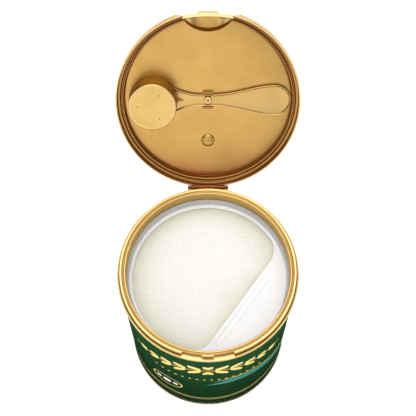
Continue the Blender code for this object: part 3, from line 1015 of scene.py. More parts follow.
@dataclass
class Collar:
    """The gold collar, whose cross-section changes at the latch in front.

    Attributes:
        top: the height of its upper edge.
        ledge: the height of the ledge that the lid's rim closes on.
        bottom: the height of its lower edge.
        skirt_radius: the outer radius below the ledge.
        ring_radius: the outer radius above the ledge.
        bore_top: the bore's radius at the top.
        bore_bottom: the bore's radius at its lower end.
        bore_end: the height of the bore's lower end.
        groove: the sealing groove's middle radius.
        groove_width: its width.
        groove_depth: its depth.
        recess_radius: the radius of the latch recess's wall.
        recess_half: half of the recess's angle.
        nib_half: half of the nib's length along the recess.
        hinge_half: half of the hinge tongue's length.
        steps: how many steps go round the collar.
        latch_steps: how many more are set close together at the latch.
    """

    top: float = 0.1625
    ledge: float = 0.1579
    bottom: float = 0.1550
    skirt_radius: float = 0.06516
    ring_radius: float = 0.0636
    bore_top: float = 0.05875
    bore_bottom: float = 0.05835
    bore_end: float = 0.1535
    groove: float = 0.06080
    groove_width: float = 0.0014
    groove_depth: float = 0.0010
    recess_radius: float = 0.0619
    recess_half: float = math.radians(16.9)
    nib_half: float = 0.0041
    hinge_half: float = 0.01495
    steps: int = 300
    latch_steps: int = 90

    def build(self, place: Placement, material: bpy.types.Material) -> None:
        """Build the ring, the latch's nib and the hinge's tongue as one piece.

        Args:
            place: the placement.
            material: its gold.
        """
        dense = (FRONT, self.recess_half * 1.1, self.latch_steps)
        edges = (FRONT - self.recess_half, FRONT + self.recess_half)
        angles = turn_with_knots(self.steps, dense, edges)
        ring = Patch(revolve(self._sections(angles - FRONT), angles), looped=True)
        patches = [ring, self._nib(), self._tongue(place)]
        piece = make_piece("collar_ring", patches, place.upright, self._shade)
        declare(piece, Body.TIN, Slot.GOLD, material, "collar")

    def _shade(self, points: Array) -> Array:
        """Paint highlight on top, ledge and foot, and shade on the groove, the ring's wall and the bore.

        Each part is picked by bands of radius and height that fade over the soft margin. The painted
        highlight on the top and foot is paler in front, and the painted shade at the bore's foot browner at
        the rear.

        Args:
            points: places in the closed tin's frame.

        Returns:
            The painted shade, from -1 for brown shade to 1 for pale highlight.
        """
        x, y, height = points.T
        radius = np.hypot(x, y)
        soft, near = 0.0002, 0.0002
        flat = band(height, self.top - 0.0003, self.top, soft)
        on_ledge = band(height, self.ledge - 0.0003, self.ledge + 0.0004, soft)
        flat += on_ledge * (radius > self.ring_radius + 3 * near)
        latch = on_ledge * (radius > self.recess_radius + 3 * near)
        latch *= np.abs(x) < -y * math.tan(self.recess_half)
        rear = smooth_step(y, 0.010, 0.045)
        half = self.groove_width / 2
        groove = band(radius, self.groove - half, self.groove + half, soft)
        sunk = groove * (1.0 - smooth_step(height, self.top - 0.0005, self.top - 0.0002))
        ring = (radius > self.recess_radius - near) * (radius < self.ring_radius + near)
        in_recess = radius < self.recess_radius + 0.0003
        wall = band(height, self.ledge + 0.0003, self.top - 0.0004, soft) * ring
        wall *= np.where(in_recess, 0.9, 0.55)
        bore = 1.0 - smooth_step(height, self.top - 0.0012, self.top - 0.0005)
        bore *= radius < self.bore_top + 0.0006
        bore_foot = 1.0 - smooth_step(height, self.bore_end + 0.0004, self.bore_end + 0.0014)
        bore_foot *= bore * rear
        along = np.abs(x) < self.nib_half + near
        nib_front = band(height, self.ledge + 0.0010, self.top - 0.0009, soft)
        nib_front *= along * (y < -self.recess_radius - 0.0006)
        nib_top = along * (y < -self.recess_radius) * (height > self.top - 0.0008)
        foot = band(height, self.bottom, self.bottom + 0.0004, soft)
        foot *= radius > self.skirt_radius - near
        # painted shade: groove, ring wall, bore, bore foot and the nib's front and top
        brown = 0.10 * sunk + wall + 0.35 * bore + 0.65 * bore_foot + 0.8 * nib_front + 0.4 * nib_top
        # painted highlight on the top, the ledge and the foot
        pale = (0.22 - 0.22 * rear) * flat * (1.0 - sunk) * (1.0 - nib_top) + 0.4 * (1.0 - rear) * foot
        # painted highlight on the ledge inside the latch recess
        return pale + 0.35 * latch - brown

    def _sections(self, off: Array) -> Array:
        """Outline the collar at each angle; in the latch recess the ring's wall steps in.

        Args:
            off: angles off the front.

        Returns:
            One outline for each angle, as (radius, height) points.
        """
        edge, half = 0.0005, self.groove_width / 2
        skirt_bore, ceiling = 0.0638, 0.1568
        outline = np.array([
            [self.skirt_radius, self.bottom],
            [self.skirt_radius, self.ledge - edge],
            [self.skirt_radius - edge / 2, self.ledge],
            [self.ring_radius + 0.0001, self.ledge],
            [self.ring_radius + edge / 3, self.ledge],
            [self.ring_radius, self.ledge + edge / 2],
            [self.ring_radius, self.top - edge],
            [self.ring_radius - edge, self.top],
            [self.groove + half, self.top - edge / 3],
            [self.groove + half / 2, self.top - self.groove_depth],
            [self.groove - half / 2, self.top - self.groove_depth],
            [self.groove - half, self.top - edge / 3],
            [self.bore_top + edge, self.top - edge / 4],
            [self.bore_top, self.top - edge],
            [self.bore_bottom, self.bore_end + 0.0014],
            [self.bore_bottom, self.bore_end],
            [self.bore_bottom + 0.0009, self.bore_end],
            [self.bore_bottom + 0.0018, ceiling],
            [skirt_bore, ceiling],
            [skirt_bore, self.bottom],
        ])
        sections = np.repeat(outline[None], len(off), axis=0)
        inside = np.abs((off + math.pi) % FULL_TURN - math.pi) < self.recess_half
        ring_wall = slice(4, 8)
        sections[inside, ring_wall] = np.array([
            [self.recess_radius + edge / 3, self.ledge],
            [self.recess_radius, self.ledge + edge / 2],
            [self.recess_radius, self.top - edge / 2],
            [self.recess_radius - edge / 2, self.top - edge / 5],
        ])
        return soften(sections, 0.0004, 4)

    def _nib(self) -> Patch:
        """Bend a bar round the recess's wall: a length along it becomes an angle.

        Returns:
            The nib's grid.
        """
        reach, low, high = 0.0014, self.ledge + 0.0016, self.top - 0.0001
        section = soften(np.array([
            [self.recess_radius - 0.0004, low],
            [self.recess_radius + reach * 0.5, low],
            [self.recess_radius + reach, high - 0.0016],
            [self.recess_radius + reach, high],
            [self.recess_radius - 0.0004, high],
        ]), 0.0004)
        grid = bar(section, self.nib_half, 0.0005)
        taper = 1 + 0.4 * ((grid[..., 2] - low) / (high - low) - 1)
        angle = grid[..., 0] * taper / self.recess_radius - math.pi / 2
        radius = grid[..., 1]
        points = np.stack([radius * np.cos(angle), radius * np.sin(angle), grid[..., 2]], axis=-1)
        return Patch(points, around=False, looped=True)

    def _tongue(self, place: Placement) -> Patch:
        """Shape the tongue under the hinge: a bar whose inner side follows the collar's skirt.

        Args:
            place: the placement.

        Returns:
            The tongue's grid.
        """
        inner = self.skirt_radius - 0.0006
        hinge = place.hinge_y - place.axis_y
        grid = bar(rectangle((0.0, self.bottom + 0.0003), (1.0, self.ledge - 0.0009), 0.0003),
                   self.hinge_half, 0.0004)
        start = np.sqrt(inner ** 2 - grid[..., 0] ** 2)
        y = start + grid[..., 1] * (hinge + 0.0003 - start)
        return Patch(np.stack([grid[..., 0], y, grid[..., 2]], axis=-1), around=False, looped=True)


@dataclass
class Leveller:
    """The white ring inside the tin, with its lip, its D-shaped mouth and its shelf.

    Attributes:
        bore: the wall's inner radius.
        wall: its thickness.
        shelf_top: the height of the shelf.
        shelf_thickness: its thickness.
        mouth_radius: the mouth's radius where it is round.
        chord: how far the mouth's straight edge is from the axis.
        chord_direction: the direction from the axis to the straight edge.
        corner: the radius of the mouth's two corners.
        flange_top: the height of the flange that is held under the collar.
        flange_radius: its radius.
        groove_distance: how far the shelf's groove is from the axis.
        groove_middle: how far its middle is off the straight edge's direction.
        groove_length: its length.
        groove_width: its width.
        groove_depth: its depth.
        steps: how many steps go round the ring.
        shelf_steps: how many go across the shelf.
    """

    bore: float = 0.0575
    wall: float = 0.0014
    shelf_top: float = 0.1443
    shelf_thickness: float = 0.0016
    mouth_radius: float = 0.0553
    chord: float = 0.02905
    chord_direction: float = math.radians(-36.0)
    corner: float = 0.0155
    flange_top: float = 0.1523
    flange_radius: float = 0.0622
    groove_distance: float = 0.0345
    groove_middle: float = -0.0045
    groove_length: float = 0.0650
    groove_width: float = 0.0046
    groove_depth: float = 0.0006
    steps: int = 360
    shelf_steps: int = 44

    def build(self, place: Placement) -> None:
        """Build the ring and shelf as one piece.

        Args:
            place: the placement.
        """
        angles = even_turn(self.steps)
        points = revolve(self._sections(angles), angles)
        points[..., 2] -= self._groove(points)
        piece = make_piece("leveller_ring", [Patch(points, looped=True)], place.upright)
        # the white plastic paints shade as grey on the wall above the shelf
        finish = WhitePlastic(self.shelf_top + 0.0004, self.shelf_top + 0.0018)
        declare(piece, Body.TIN, Slot.WHITE, finish.make(), "leveller")

    def mouth(self, angles: Array) -> Array:
        """Give the mouth's radius at each angle.

        It is the round mouth's radius, or the straight edge's distance over the cosine of the angle off
        its direction where that is less, and on the corners the far crossing of the ray with the
        corner's circle, which touches both.

        Args:
            angles: angles round the axis.

        Returns:
            The distance from the axis to the mouth's edge.
        """
        off = np.abs((angles - self.chord_direction + math.pi) % FULL_TURN - math.pi)
        along = self.chord - self.corner
        across = math.sqrt((self.mouth_radius - self.corner) ** 2 - along ** 2)
        reach = math.hypot(along, across)
        bearing = math.atan2(across, along)
        flat_end = math.atan2(across, self.chord)
        flat = self.chord / np.maximum(np.cos(off), 0.05)
        swing = off - bearing
        inside = np.maximum(self.corner ** 2 - (reach * np.sin(swing)) ** 2, 0.0)
        rounded = reach * np.cos(swing) + np.sqrt(inside)
        return np.where(off < flat_end, flat, np.where(off < bearing, rounded, self.mouth_radius))

    def _sections(self, angles: Array) -> Array:
        """Outline the ring at each angle: under the shelf, round the lip, over the shelf, up the wall.

        Args:
            angles: angles round the axis.

        Returns:
            One outline for each angle, as (radius, height) points.
        """
        mouth = self.mouth(angles)
        low, top = self.shelf_top - self.shelf_thickness, self.shelf_top
        outer = self.bore + self.wall
        edge = 0.0006
        shelf = np.linspace(0.0, 1.0, self.shelf_steps)[:, None]
        start, end = mouth + edge, np.full_like(mouth, self.bore - 2 * edge)
        radii = (start + (end - start) * shelf).T
        flat = np.stack([radii, np.full_like(radii, top)], axis=-1)

        def column(radius: Union[float, Array], height: float) -> Array:
            """Repeat one corner for every angle."""
            pair = [np.broadcast_to(radius, mouth.shape), np.full_like(mouth, height)]
            return np.stack(pair, axis=-1)[:, None]

        lip = soften(np.concatenate([
            column(outer - 3 * edge, low), column(mouth + 2 * edge, low), column(mouth, low + edge / 2),
            column(mouth, top - edge), column(mouth + edge * 0.8, top)], axis=1), edge, 4, closed=False)
        wall = soften(np.concatenate([
            column(self.bore - 2 * edge, top), column(self.bore - edge / 3, top + edge),
            column(self.bore + edge / 4, self.flange_top - edge), column(self.bore + edge, self.flange_top),
            column(self.flange_radius, self.flange_top),
            column(self.flange_radius, self.flange_top - 2 * edge),
            column(outer, self.flange_top - 2 * edge), column(outer, low + 2 * edge),
            column(outer - 3 * edge, low)], axis=1), edge, 4, closed=False)
        return np.concatenate([lip[:, :-1], flat, wall[:, 1:-1]], axis=1)

    def _groove(self, points: Array) -> Array:
        """Sink the shelf along a straight slot with round ends.

        The depth falls off smoothly with the distance from the slot's middle line, and only the shelf's
        upper side sinks.

        Args:
            points: the piece's grid.

        Returns:
            How far each point sinks.
        """
        cos, sin = math.cos(self.chord_direction), math.sin(self.chord_direction)
        out = points[..., 0] * cos + points[..., 1] * sin - self.groove_distance
        side = -points[..., 0] * sin + points[..., 1] * cos - self.groove_middle
        half = (self.groove_length - self.groove_width) / 2
        distance = np.hypot(out, np.maximum(np.abs(side) - half, 0.0))
        sunk = 1.0 - smooth_step(distance, self.groove_width * 0.30, self.groove_width * 0.58)
        on_top = np.abs(points[..., 2] - self.shelf_top) < 1e-5
        return self.groove_depth * sunk * on_top


@dataclass
class Powder:
    """The powder, whose top is a softly uneven surface with fine crumbs.

    Attributes:
        radius: its radius, at the wall's inside.
        bottom: the height of its underside.
        level: the middle height of its top.
        drift: the height of its slow waves.
        crumb: the height of its crumbs.
        shade_width: how far from the lip the painted shade falls to 1 / e.
        steps: how many steps go round the powder.
        rings: how many rings its top has.
    """

    radius: float = 0.0622
    bottom: float = 0.0036
    level: float = 0.1417
    drift: float = 0.00016
    crumb: float = 0.00006
    shade_width: float = 0.0075
    steps: int = 320
    rings: int = 210

    def build(self, place: Placement, mouth: Callable[[Array], Array]) -> None:
        """Build the powder as one closed piece, with painted shade stored by how near the lip each point is.

        Args:
            place: the placement.
            mouth: the mouth's radius as a function of the angle.
        """
        angles = even_turn(self.steps)
        radii = np.linspace(self.radius, 0.0, self.rings)
        top = np.stack([radii, np.full_like(radii, self.level)], axis=-1)
        section = np.concatenate([[[0.0, self.bottom], [self.radius, self.bottom]], top])
        points = revolve(section, angles)
        x, y, z = points[..., 0], points[..., 1], points[..., 2]
        slow, middle, fine = 0.022, 0.0036, 0.0016
        relief = self.drift * wave_field(x, y, slow, 11) + self.crumb * wave_field(x, y, middle, 12)
        relief += self.crumb * 0.6 * wave_field(x, y, fine, 13)
        points[..., 2] = np.where(z > self.bottom + 0.001, z + relief, z)

        # the nearness to the lip sets the painted shade near the lip
        def nearness(spots: Array) -> Array:
            """Give 1 at the lip and beyond, falling off as exp(-gap / width) away from it."""
            gap = mouth(np.arctan2(spots[:, 1], spots[:, 0])) - np.hypot(spots[:, 0], spots[:, 1])
            return np.exp(-np.maximum(gap, 0.0) / self.shade_width)

        piece = make_piece("milk_powder", [Patch(points)], place.upright, nearness, 80.0)
        declare(piece, Body.TIN, Slot.POWDER, MilkPowder().make(), "powder")


@dataclass
class Lid:
    """The lid. Heights are above its rim, which is level with the hinge axis when it is closed.

    Attributes:
        radius: the outer radius.
        skirt_bore: the skirt's inner radius.
        face: the height of the inner face.
        face_radius: the radius of the inner face.
        ledge: the height of the ledge inside the skirt.
        ledge_bore: the ledge's inner radius.
        channel: the height of the channel between the ledge and the sealing ring.
        seal: the sealing ring's middle radius.
        seal_half: half of the sealing ring's thickness.
        seal_tip: the height of its tip.
        slot_floor: the height of the narrow slot between the sealing ring and the face.
        face_fall: how far the face's edge lies above its middle, which is most at the hinge.
        height: the height of the outer face.
        crown: how far the outer face is domed.
        flap_half: half of the latch flap's angle.
        flap_bore: the flap's inner radius.
        flap_out: the distance of the flap's outer rim in the middle of the front.
        flap_out_curve: the rim falls back by x squared over this length.
        flap_in: the distance of its inner rim there.
        flap_in_curve: the same length for the inner rim.
        tab_flat: half of the width over which the tab stands out fully.
        tab_half: half of the tab's whole width.
        lean: how far the flap's outside leans in for each metre up from the rim.
        curl: the angle beside the flap over which the skirt turns upright.
        nib_pocket: the outer radius of the pocket for the collar's nib.
        nib_pocket_half: half of that pocket's angle.
        slot_angle: the angle of each slot beside the flap.
        thumb_distance: how far the thumb pocket's circle is centred from the lid's middle.
        thumb_radius: the radius of that circle.
        thumb_depth: the pocket's depth in its middle.
        thumb_half: half of its width at the face.
        thumb_wall: the thickness of its wall.
        button_y: how far the button is from the lid's middle, towards the hinge.
        pin_height: how far the clip's pin stands off the face.
        hinge_half: half of the hinge's length.
        roll_radius: the radius of the hinge's roll.
        steps: how many steps go round the lid.
        latch_steps: how many more are set close together at the flap.
        latch_half: half of the angle over which they are.
    """

    radius: float = 0.0662
    skirt_bore: float = 0.0649
    ledge: float = 0.0047
    ledge_bore: float = 0.0629
    face: float = 0.0074
    face_radius: float = 0.06006
    channel: float = 0.0062
    seal: float = 0.06095
    seal_half: float = 0.0003
    seal_tip: float = 0.0038
    slot_floor: float = 0.0084
    face_fall: float = 0.0005
    height: float = 0.0089
    crown: float = 0.0007
    flap_half: float = math.radians(15.6)
    flap_bore: float = 0.0622
    flap_out: float = 0.0649
    flap_out_curve: float = 0.220
    flap_in: float = 0.0624
    flap_in_curve: float = 0.188
    tab_flat: float = 0.0068
    tab_half: float = 0.0098
    lean: float = 0.36
    curl: float = math.radians(3.8)
    nib_pocket: float = 0.0636
    nib_pocket_half: float = math.radians(4.9)
    slot_angle: float = math.radians(0.8)
    thumb_distance: float = 0.0714
    thumb_radius: float = 0.0216
    thumb_depth: float = 0.0045
    thumb_half: float = 0.0172
    thumb_wall: float = 0.0012
    button_y: float = 0.0317
    pin_height: float = 0.0031
    hinge_half: float = 0.01495
    roll_radius: float = 0.0009
    steps: int = 320
    latch_steps: int = 150
    latch_half: float = math.radians(18.5)

    def build(self, place: Placement, material: bpy.types.Material) -> None:
        """Build the shell and what is moulded on it as one piece.

        Args:
            place: the placement.
            material: its gold.
        """
        sharp = (self.nib_pocket_half, self.flap_half, self.flap_half + self.slot_angle)
        edges = tuple(FRONT + side * angle for side in (-1, 1) for angle in sharp)
        angles = turn_with_knots(self.steps, (FRONT, self.latch_half, self.latch_steps), edges)
        off = (angles - FRONT + math.pi) % FULL_TURN - math.pi
        shell = Patch(revolve(self._sections(off), angles))
        patches = [shell, self._button(), self._pin(), *self._lugs(), *self._hinge(place)]
        piece = make_open_piece("lid_shell", patches, place, self._shade)
        declare(piece, Body.LID, Slot.GOLD, material, "lid")

    def _shade(self, x: Array, y: Array, height: Array) -> Array:
        """Paint highlight on the rim, and shade in its grooves, on the thumb pocket's wall and on the hinge.

        The face gets painted shade towards its edge as well, further in near the hinge.

        Args:
            x: places along the hinge.
            y: places off the lid's middle, positive towards the hinge.
            height: heights above the rim.

        Returns:
            The painted shade, from -1 for brown shade to 1 for pale highlight.
        """
        soft, near = 0.0003, 0.0002
        ledge_span, step_span, slot_span = (0.0632, 0.0648), (0.0613, 0.0650), (0.0602, 0.0608)
        hinge_from, hinge_top = 0.0640, 0.0016
        pin_reach, dimple_reach = 0.0030, 0.0008
        lug_half, lug_from, lug_to = 0.0040, 0.0044, 0.0068
        radius = np.hypot(x, y)
        on_face = radius < self.face_radius + 0.00004
        inside = radius < self.skirt_bore + near
        low = 1.0 - smooth_step(height, 0.0010, 0.0020)
        ledge = band(height, self.ledge - 0.0006, self.ledge + 0.0006, soft)
        ledge *= band(radius, *ledge_span, soft)
        step = band(height, 0.0014, self.channel + 0.0003, soft) * band(radius, *step_span, soft)
        slot = band(height, self.seal_tip + 0.0014, self.slot_floor, soft)
        slot *= band(radius, *slot_span, soft)
        near_hinge = smooth_step(y, -0.010, 0.048)
        near_flap = smooth_step(-y, 0.015, 0.048)
        edge = smooth_step(radius, 0.0590 - 0.0060 * near_hinge, 0.0600) * on_face
        edge *= height > self.face - 0.0004
        past = self.thumb_radius - np.hypot(x, y + self.thumb_distance)
        pocket = past > 0.0
        wall = band(past, 0.0001, 0.0012, soft) * (height > self.face + 0.0001) * (height < self.height)
        hinge = (y > hinge_from) & (np.abs(x) < self.hinge_half + near) & (height < hinge_top)
        # painted highlight on the rim, turning to painted shade near the hinge
        rim = low * ~hinge * (0.9 - 1.15 * near_hinge)
        # painted highlight on the pocket floor's sides
        floor = (past > 0.0016) * (height > self.face + 0.0002) * smooth_step(np.abs(x), 0.005, 0.013)
        # painted shade in the channel, painted highlight on the ledge away from the flap
        channel = 0.75 * step * inside - 0.3 * ledge * (1.0 - near_flap)
        shade = rim + 0.5 * floor * inside - channel * ~pocket
        belt = smooth_step(y, 0.034, 0.048) * (1.0 - smooth_step(np.abs(x), 0.014, 0.040))
        # painted shade on the face towards its edge and in a belt near the hinge
        shade -= (0.25 * near_hinge + 0.30 * belt) * smooth_step(radius, 0.040, 0.056) * on_face
        # painted shade in the slot and at the face's edge, turning to painted highlight near the flap
        shade -= (slot * (1.0 - 0.5 * near_hinge) + edge * (0.25 - 0.65 * near_flap)) * ~pocket
        end = self.face - self.pin_height
        pin = (radius < pin_reach) * (height < end + 0.0008)
        # painted highlight on the pin's end and painted shade on its side
        shade += pin * (0.7 * (radius > dimple_reach) * (height < end + 0.00035) - 0.4)
        lug = (np.abs(x) < lug_half) * (np.abs(y) > lug_from) * (np.abs(y) < lug_to) * (height < self.face)
        # painted shade on the pocket wall, the hinge and the lugs
        return np.clip(shade - 0.1 * wall - 0.9 * hinge - 0.5 * lug, -1.0, 1.0)

    def _arc(self, off: Array, radius: float) -> Array:
        """Give the distance from the lid's middle to the thumb circle's near side.

        It is the near crossing of a ray with the circle; past the circle it is the face's radius.

        Args:
            off: angles off the front.
            radius: the circle's radius.

        Returns:
            The distances, at most the face's radius.
        """
        reach = self.thumb_distance
        under = radius ** 2 - (reach * np.sin(off)) ** 2
        hit = reach * np.cos(off) - np.sqrt(np.maximum(under, 0.0))
        missed = (under <= 0.0) | (np.abs(off) > math.pi / 2)
        return np.where(missed, self.face_radius, np.minimum(hit, self.face_radius))

    def _lens(self, off: Array, radius: Array, depth: float, half: float, power: float) -> Array:
        """Give the thumb pocket's depth: depth * (1 - share ^ power), by the share of the half width.

        Args:
            off: angles off the front.
            radius: the distance from the lid's middle at each angle.
            depth: the depth in the middle.
            half: half of the pocket's width.
            power: how late the depth falls off sideways.

        Returns:
            The depth at each angle.
        """
        share = np.minimum(np.abs(radius * np.sin(off)) / half, 1.0)
        return np.where(np.abs(off) < math.pi / 2, depth * (1.0 - share ** power), 0.0)

    def _sections(self, off: Array) -> Array:
        """Outline the lid at each angle off the front, from its crown over the rim to its face.

        Outside the flap the skirt is upright, and a ledge, the channel, the sealing ring and a slot follow
        each other inside it. On the flap the skirt leans in, its rim follows a flatter arc, and the thumb
        pocket takes the sealing ring's place. In a notch beside the flap the skirt ends at the channel.

        Args:
            off: angles off the front, from -pi to pi.

        Returns:
            One outline for each angle.
        """
        one = np.ones_like(off)
        notch_end = self.flap_half + self.slot_angle
        flap = np.abs(off) < self.flap_half
        notch = (np.abs(off) >= self.flap_half) & (np.abs(off) < notch_end)
        inner_arc = self._arc(off, self.thumb_radius)
        outer_arc = self._arc(off, self.thumb_radius + self.thumb_wall)
        pocket = inner_arc < self.face_radius - 1e-5
        slope = self.thumb_depth / 3

        def pick(mask: Array, yes: Union[float, Array], no: Union[float, Array]) -> Array:
            """Choose between two values at each angle."""
            return np.where(mask, yes, no) * one

        def corner(radius: Array, height: Array) -> Array:
            """Pair a radius and a height at each angle."""
            return np.stack([radius * one, height * one], axis=-1)

        x = self.radius * np.sin(off)
        front = np.maximum(np.cos(off), 0.5)
        around = pick(flap, (self.flap_out - x ** 2 / self.flap_out_curve) / front, self.radius)
        rim_out = pick(notch, self.radius - self.lean * self.channel - 0.0002, around)
        rim_in = pick(flap, (self.flap_in - x ** 2 / self.flap_in_curve) / front, self.skirt_bore)
        rim_in = np.minimum(rim_in, rim_out - 0.0009)
        tab = pick(flap, 1.0 - smooth_step(np.abs(x), self.tab_flat, self.tab_half), 0.0)
        lean = pick(flap, 1.0, 1.0 - smooth_step(np.abs(off), notch_end, notch_end + self.curl))

        def wall(height: float, upright: float, tab_gain: float) -> Array:
            """Give the outer wall's radius, which leans in on the flap, but less on its tab.

            Args:
                height: the height above the rim.
                upright: how far the upright skirt is inside the lid's radius there.
                tab_gain: how far the tab stands out from the leaning wall there.

            Returns:
                The radius at each angle.
            """
            leaning = around - self.lean * height - 0.0001 + tab * tab_gain
            radius = leaning * lean + (self.radius - upright) * (1.0 - lean)
            return pick(notch, np.minimum(radius, rim_out), radius)

        depth_out = self.thumb_depth + self.thumb_wall
        half_out = self.thumb_half + 2 * self.thumb_wall
        pad_low = self.face + self._lens(off, outer_arc + slope, depth_out, half_out, 2.0)
        pad_high = self.face + self._lens(off, 0.0615 * one, depth_out, half_out, 2.0)
        pad_low = np.where(pocket, np.maximum(pad_low, self.height), self.height)
        pad_high = np.where(pocket, np.maximum(pad_high, self.height), self.height)
        outer_clip = around - self.lean * pad_high - 0.0003 + tab * 0.0017
        clip = outer_clip - 0.0008
        floor_low = self.face + self._lens(off, inner_arc + slope, self.thumb_depth, self.thumb_half, 4.0)
        floor_high = self.face + self._lens(off, clip, self.thumb_depth, self.thumb_half, 4.0)
        rim = pick(notch, self.channel, 0.0)
        ledge = pick(notch, self.channel, self.ledge)
        tip = self.seal_half
        flat_end = np.minimum(outer_arc, 0.0590)
        towards_hinge = smooth_step(np.abs(off), math.radians(100.0), math.radians(150.0))
        fall = self.face_fall * smooth_step(inner_arc, 0.0530, self.face_radius)
        fall *= 0.25 + 0.75 * towards_hinge
        nib = np.abs(off) < self.nib_pocket_half
        bore = pick(flap, self.flap_bore, np.minimum(self.skirt_bore - 0.0002, rim_in))
        outline = [
            corner(0.0, self.height + self.crown),
            corner(self.radius * 0.45, self.height + self.crown * 0.75),
            corner(flat_end - 0.0008, self.height + 0.00005),
            corner(flat_end, self.height),
            corner(flat_end + slope, pad_low),
            corner(pick(pocket, outer_clip - 0.0001, 0.0620), pad_high),
            corner(pick(flap, wall(self.height, 0.0, 0.0017) - 0.0001, wall(self.height, 0.0016, 0.0)),
                   self.height),
            corner(wall(self.height - 0.0005, 0.0006, 0.0019), self.height - 0.0005),
            corner(wall(self.height - 0.0016, 0.0002, 0.0021), self.height - 0.0016),
            corner(wall(0.0050, 0.0001, 0.0019), np.maximum(0.0050, rim)),
            corner(wall(0.0013, 0.0, 0.0004), np.maximum(0.0013, rim)),
            corner(rim_out, rim + pick(notch, 0.0, 0.0008)),
            corner(rim_out - 0.0004, rim),
            corner(rim_in + 0.0003, rim),
            corner(rim_in, rim + pick(notch, 0.0, 0.0003)),
            corner(pick(nib, rim_in, rim_in * 0.75 + bore * 0.25),
                   pick(nib, 0.0008, rim * 0.75 + ledge * 0.25)),
            corner(pick(nib, self.nib_pocket, rim_in * 0.5 + bore * 0.5),
                   pick(nib, 0.0010, (rim + ledge) / 2)),
            corner(pick(nib, self.nib_pocket, rim_in * 0.25 + bore * 0.75),
                   pick(nib, 0.0045, rim * 0.25 + ledge * 0.75)),
            corner(bore, ledge),
            corner(pick(pocket, clip + 0.0001, self.ledge_bore), pick(pocket, self.channel, ledge)),
            corner(pick(pocket, clip, self.ledge_bore - 0.0002), self.channel),
            corner(pick(pocket, clip, self.seal + tip + 0.0002),
                   pick(pocket, self.channel + 0.0001, self.channel)),
            corner(pick(pocket, clip, self.seal + tip), pick(pocket, self.channel + 0.0002, self.seal_tip)),
            corner(pick(pocket, clip, self.seal - tip), pick(pocket, floor_high, self.seal_tip)),
            corner(pick(pocket, clip - 0.0010, self.seal - tip - 0.0001),
                   pick(pocket, floor_high, self.slot_floor)),
            corner(pick(pocket, clip - 0.0015, self.face_radius + 0.0001),
                   pick(pocket, floor_high, self.slot_floor)),
            corner(pick(pocket, inner_arc + slope, self.face_radius),
                   pick(pocket, floor_low, self.slot_floor)),
            corner(pick(pocket, inner_arc, self.face_radius - 0.0003), self.face + fall),
            corner(np.minimum(inner_arc - 0.0007, 0.0582), self.face + fall * 0.7),
            corner(np.minimum(inner_arc - 0.0012, 0.0558), self.face + fall * 0.3),
            corner(np.minimum(inner_arc - 0.0017, 0.0510), self.face),
            corner(self.face_radius * 0.5, self.face),
            corner(0.0, self.face),
        ]
        return soften(np.stack(outline, axis=1), 0.00035, 4, closed=False)

    def _button(self) -> Patch:
        """Turn the round button on the face, with a dimple in its middle.

        Returns:
            The button's grid.
        """
        radius, height, base = 0.0049, 0.0018, self.face + 0.0003
        end, dimple = self.face - height, 0.0004
        section = soften(np.array([
            [0.0, base],
            [radius, base],
            [radius, self.face - 0.0002],
            [0.0043, self.face - height * 0.55],
            [0.0033, self.face - height * 0.88],
            [0.0020, end],
            [0.0008, end],
            [dimple, end + dimple],
            [0.0, end + dimple],
        ]), 0.0006, 5, closed=False)
        return Patch(revolve(section, even_turn(64), (0.0, self.button_y)))

    def _pin(self) -> Patch:
        """Turn the pin that comes through the scoop's handle, with a ring and a dimple on its end.

        Returns:
            The pin's grid.
        """
        radius, dimple = 0.0027, 0.0005
        base, end = self.face + 0.0003, self.face - self.pin_height
        section = soften(np.array([
            [0.0, base],
            [radius, base],
            [radius, end + 0.0004],
            [radius - 0.0004, end],
            [0.0010, end],
            [0.0007, end + dimple],
            [0.0, end + dimple],
        ]), 0.0003, 4, closed=False)
        return Patch(revolve(section, even_turn(48)))

    def _lugs(self) -> list[Patch]:
        """Shape the two clip lugs beside the scoop's neck: bars with a hooked edge over the handle.

        Returns:
            The lugs' grids.
        """
        half_length = 0.0036
        hook = np.array([
            [0.0050, self.face + 0.0003],
            [0.0050, self.face - 0.0022],
            [0.0046, self.face - 0.0026],
            [0.0048, self.face - 0.0032],
            [0.0062, self.face - 0.0030],
            [0.0064, self.face + 0.0003],
        ])
        grid = bar(soften(hook, 0.0003), half_length, 0.0004)
        return [Patch(grid * np.array([1.0, side, 1.0]), around=False, looped=True) for side in (-1.0, 1.0)]

    def _hinge(self, place: Placement) -> list[Patch]:
        """Shape the hinge's strap and the roll that it ends in, both along X.

        Args:
            place: the placement.

        Returns:
            The grids of the strap and the roll.
        """
        hinge = place.hinge_y - place.axis_y
        low, high = 0.0002, 0.0014
        section = rectangle((self.skirt_bore + 0.0004, low), (hinge, high), 0.0003)
        strap = bar(section, self.hinge_half, 0.0004)
        turn = even_turn(24)
        circle = self.roll_radius * np.stack([np.cos(turn), np.sin(turn)], axis=-1) + np.array([hinge, 0.0])
        roll = bar(circle, self.hinge_half, 0.0003)
        return [Patch(strap, around=False, looped=True), Patch(roll, around=False, looped=True)]


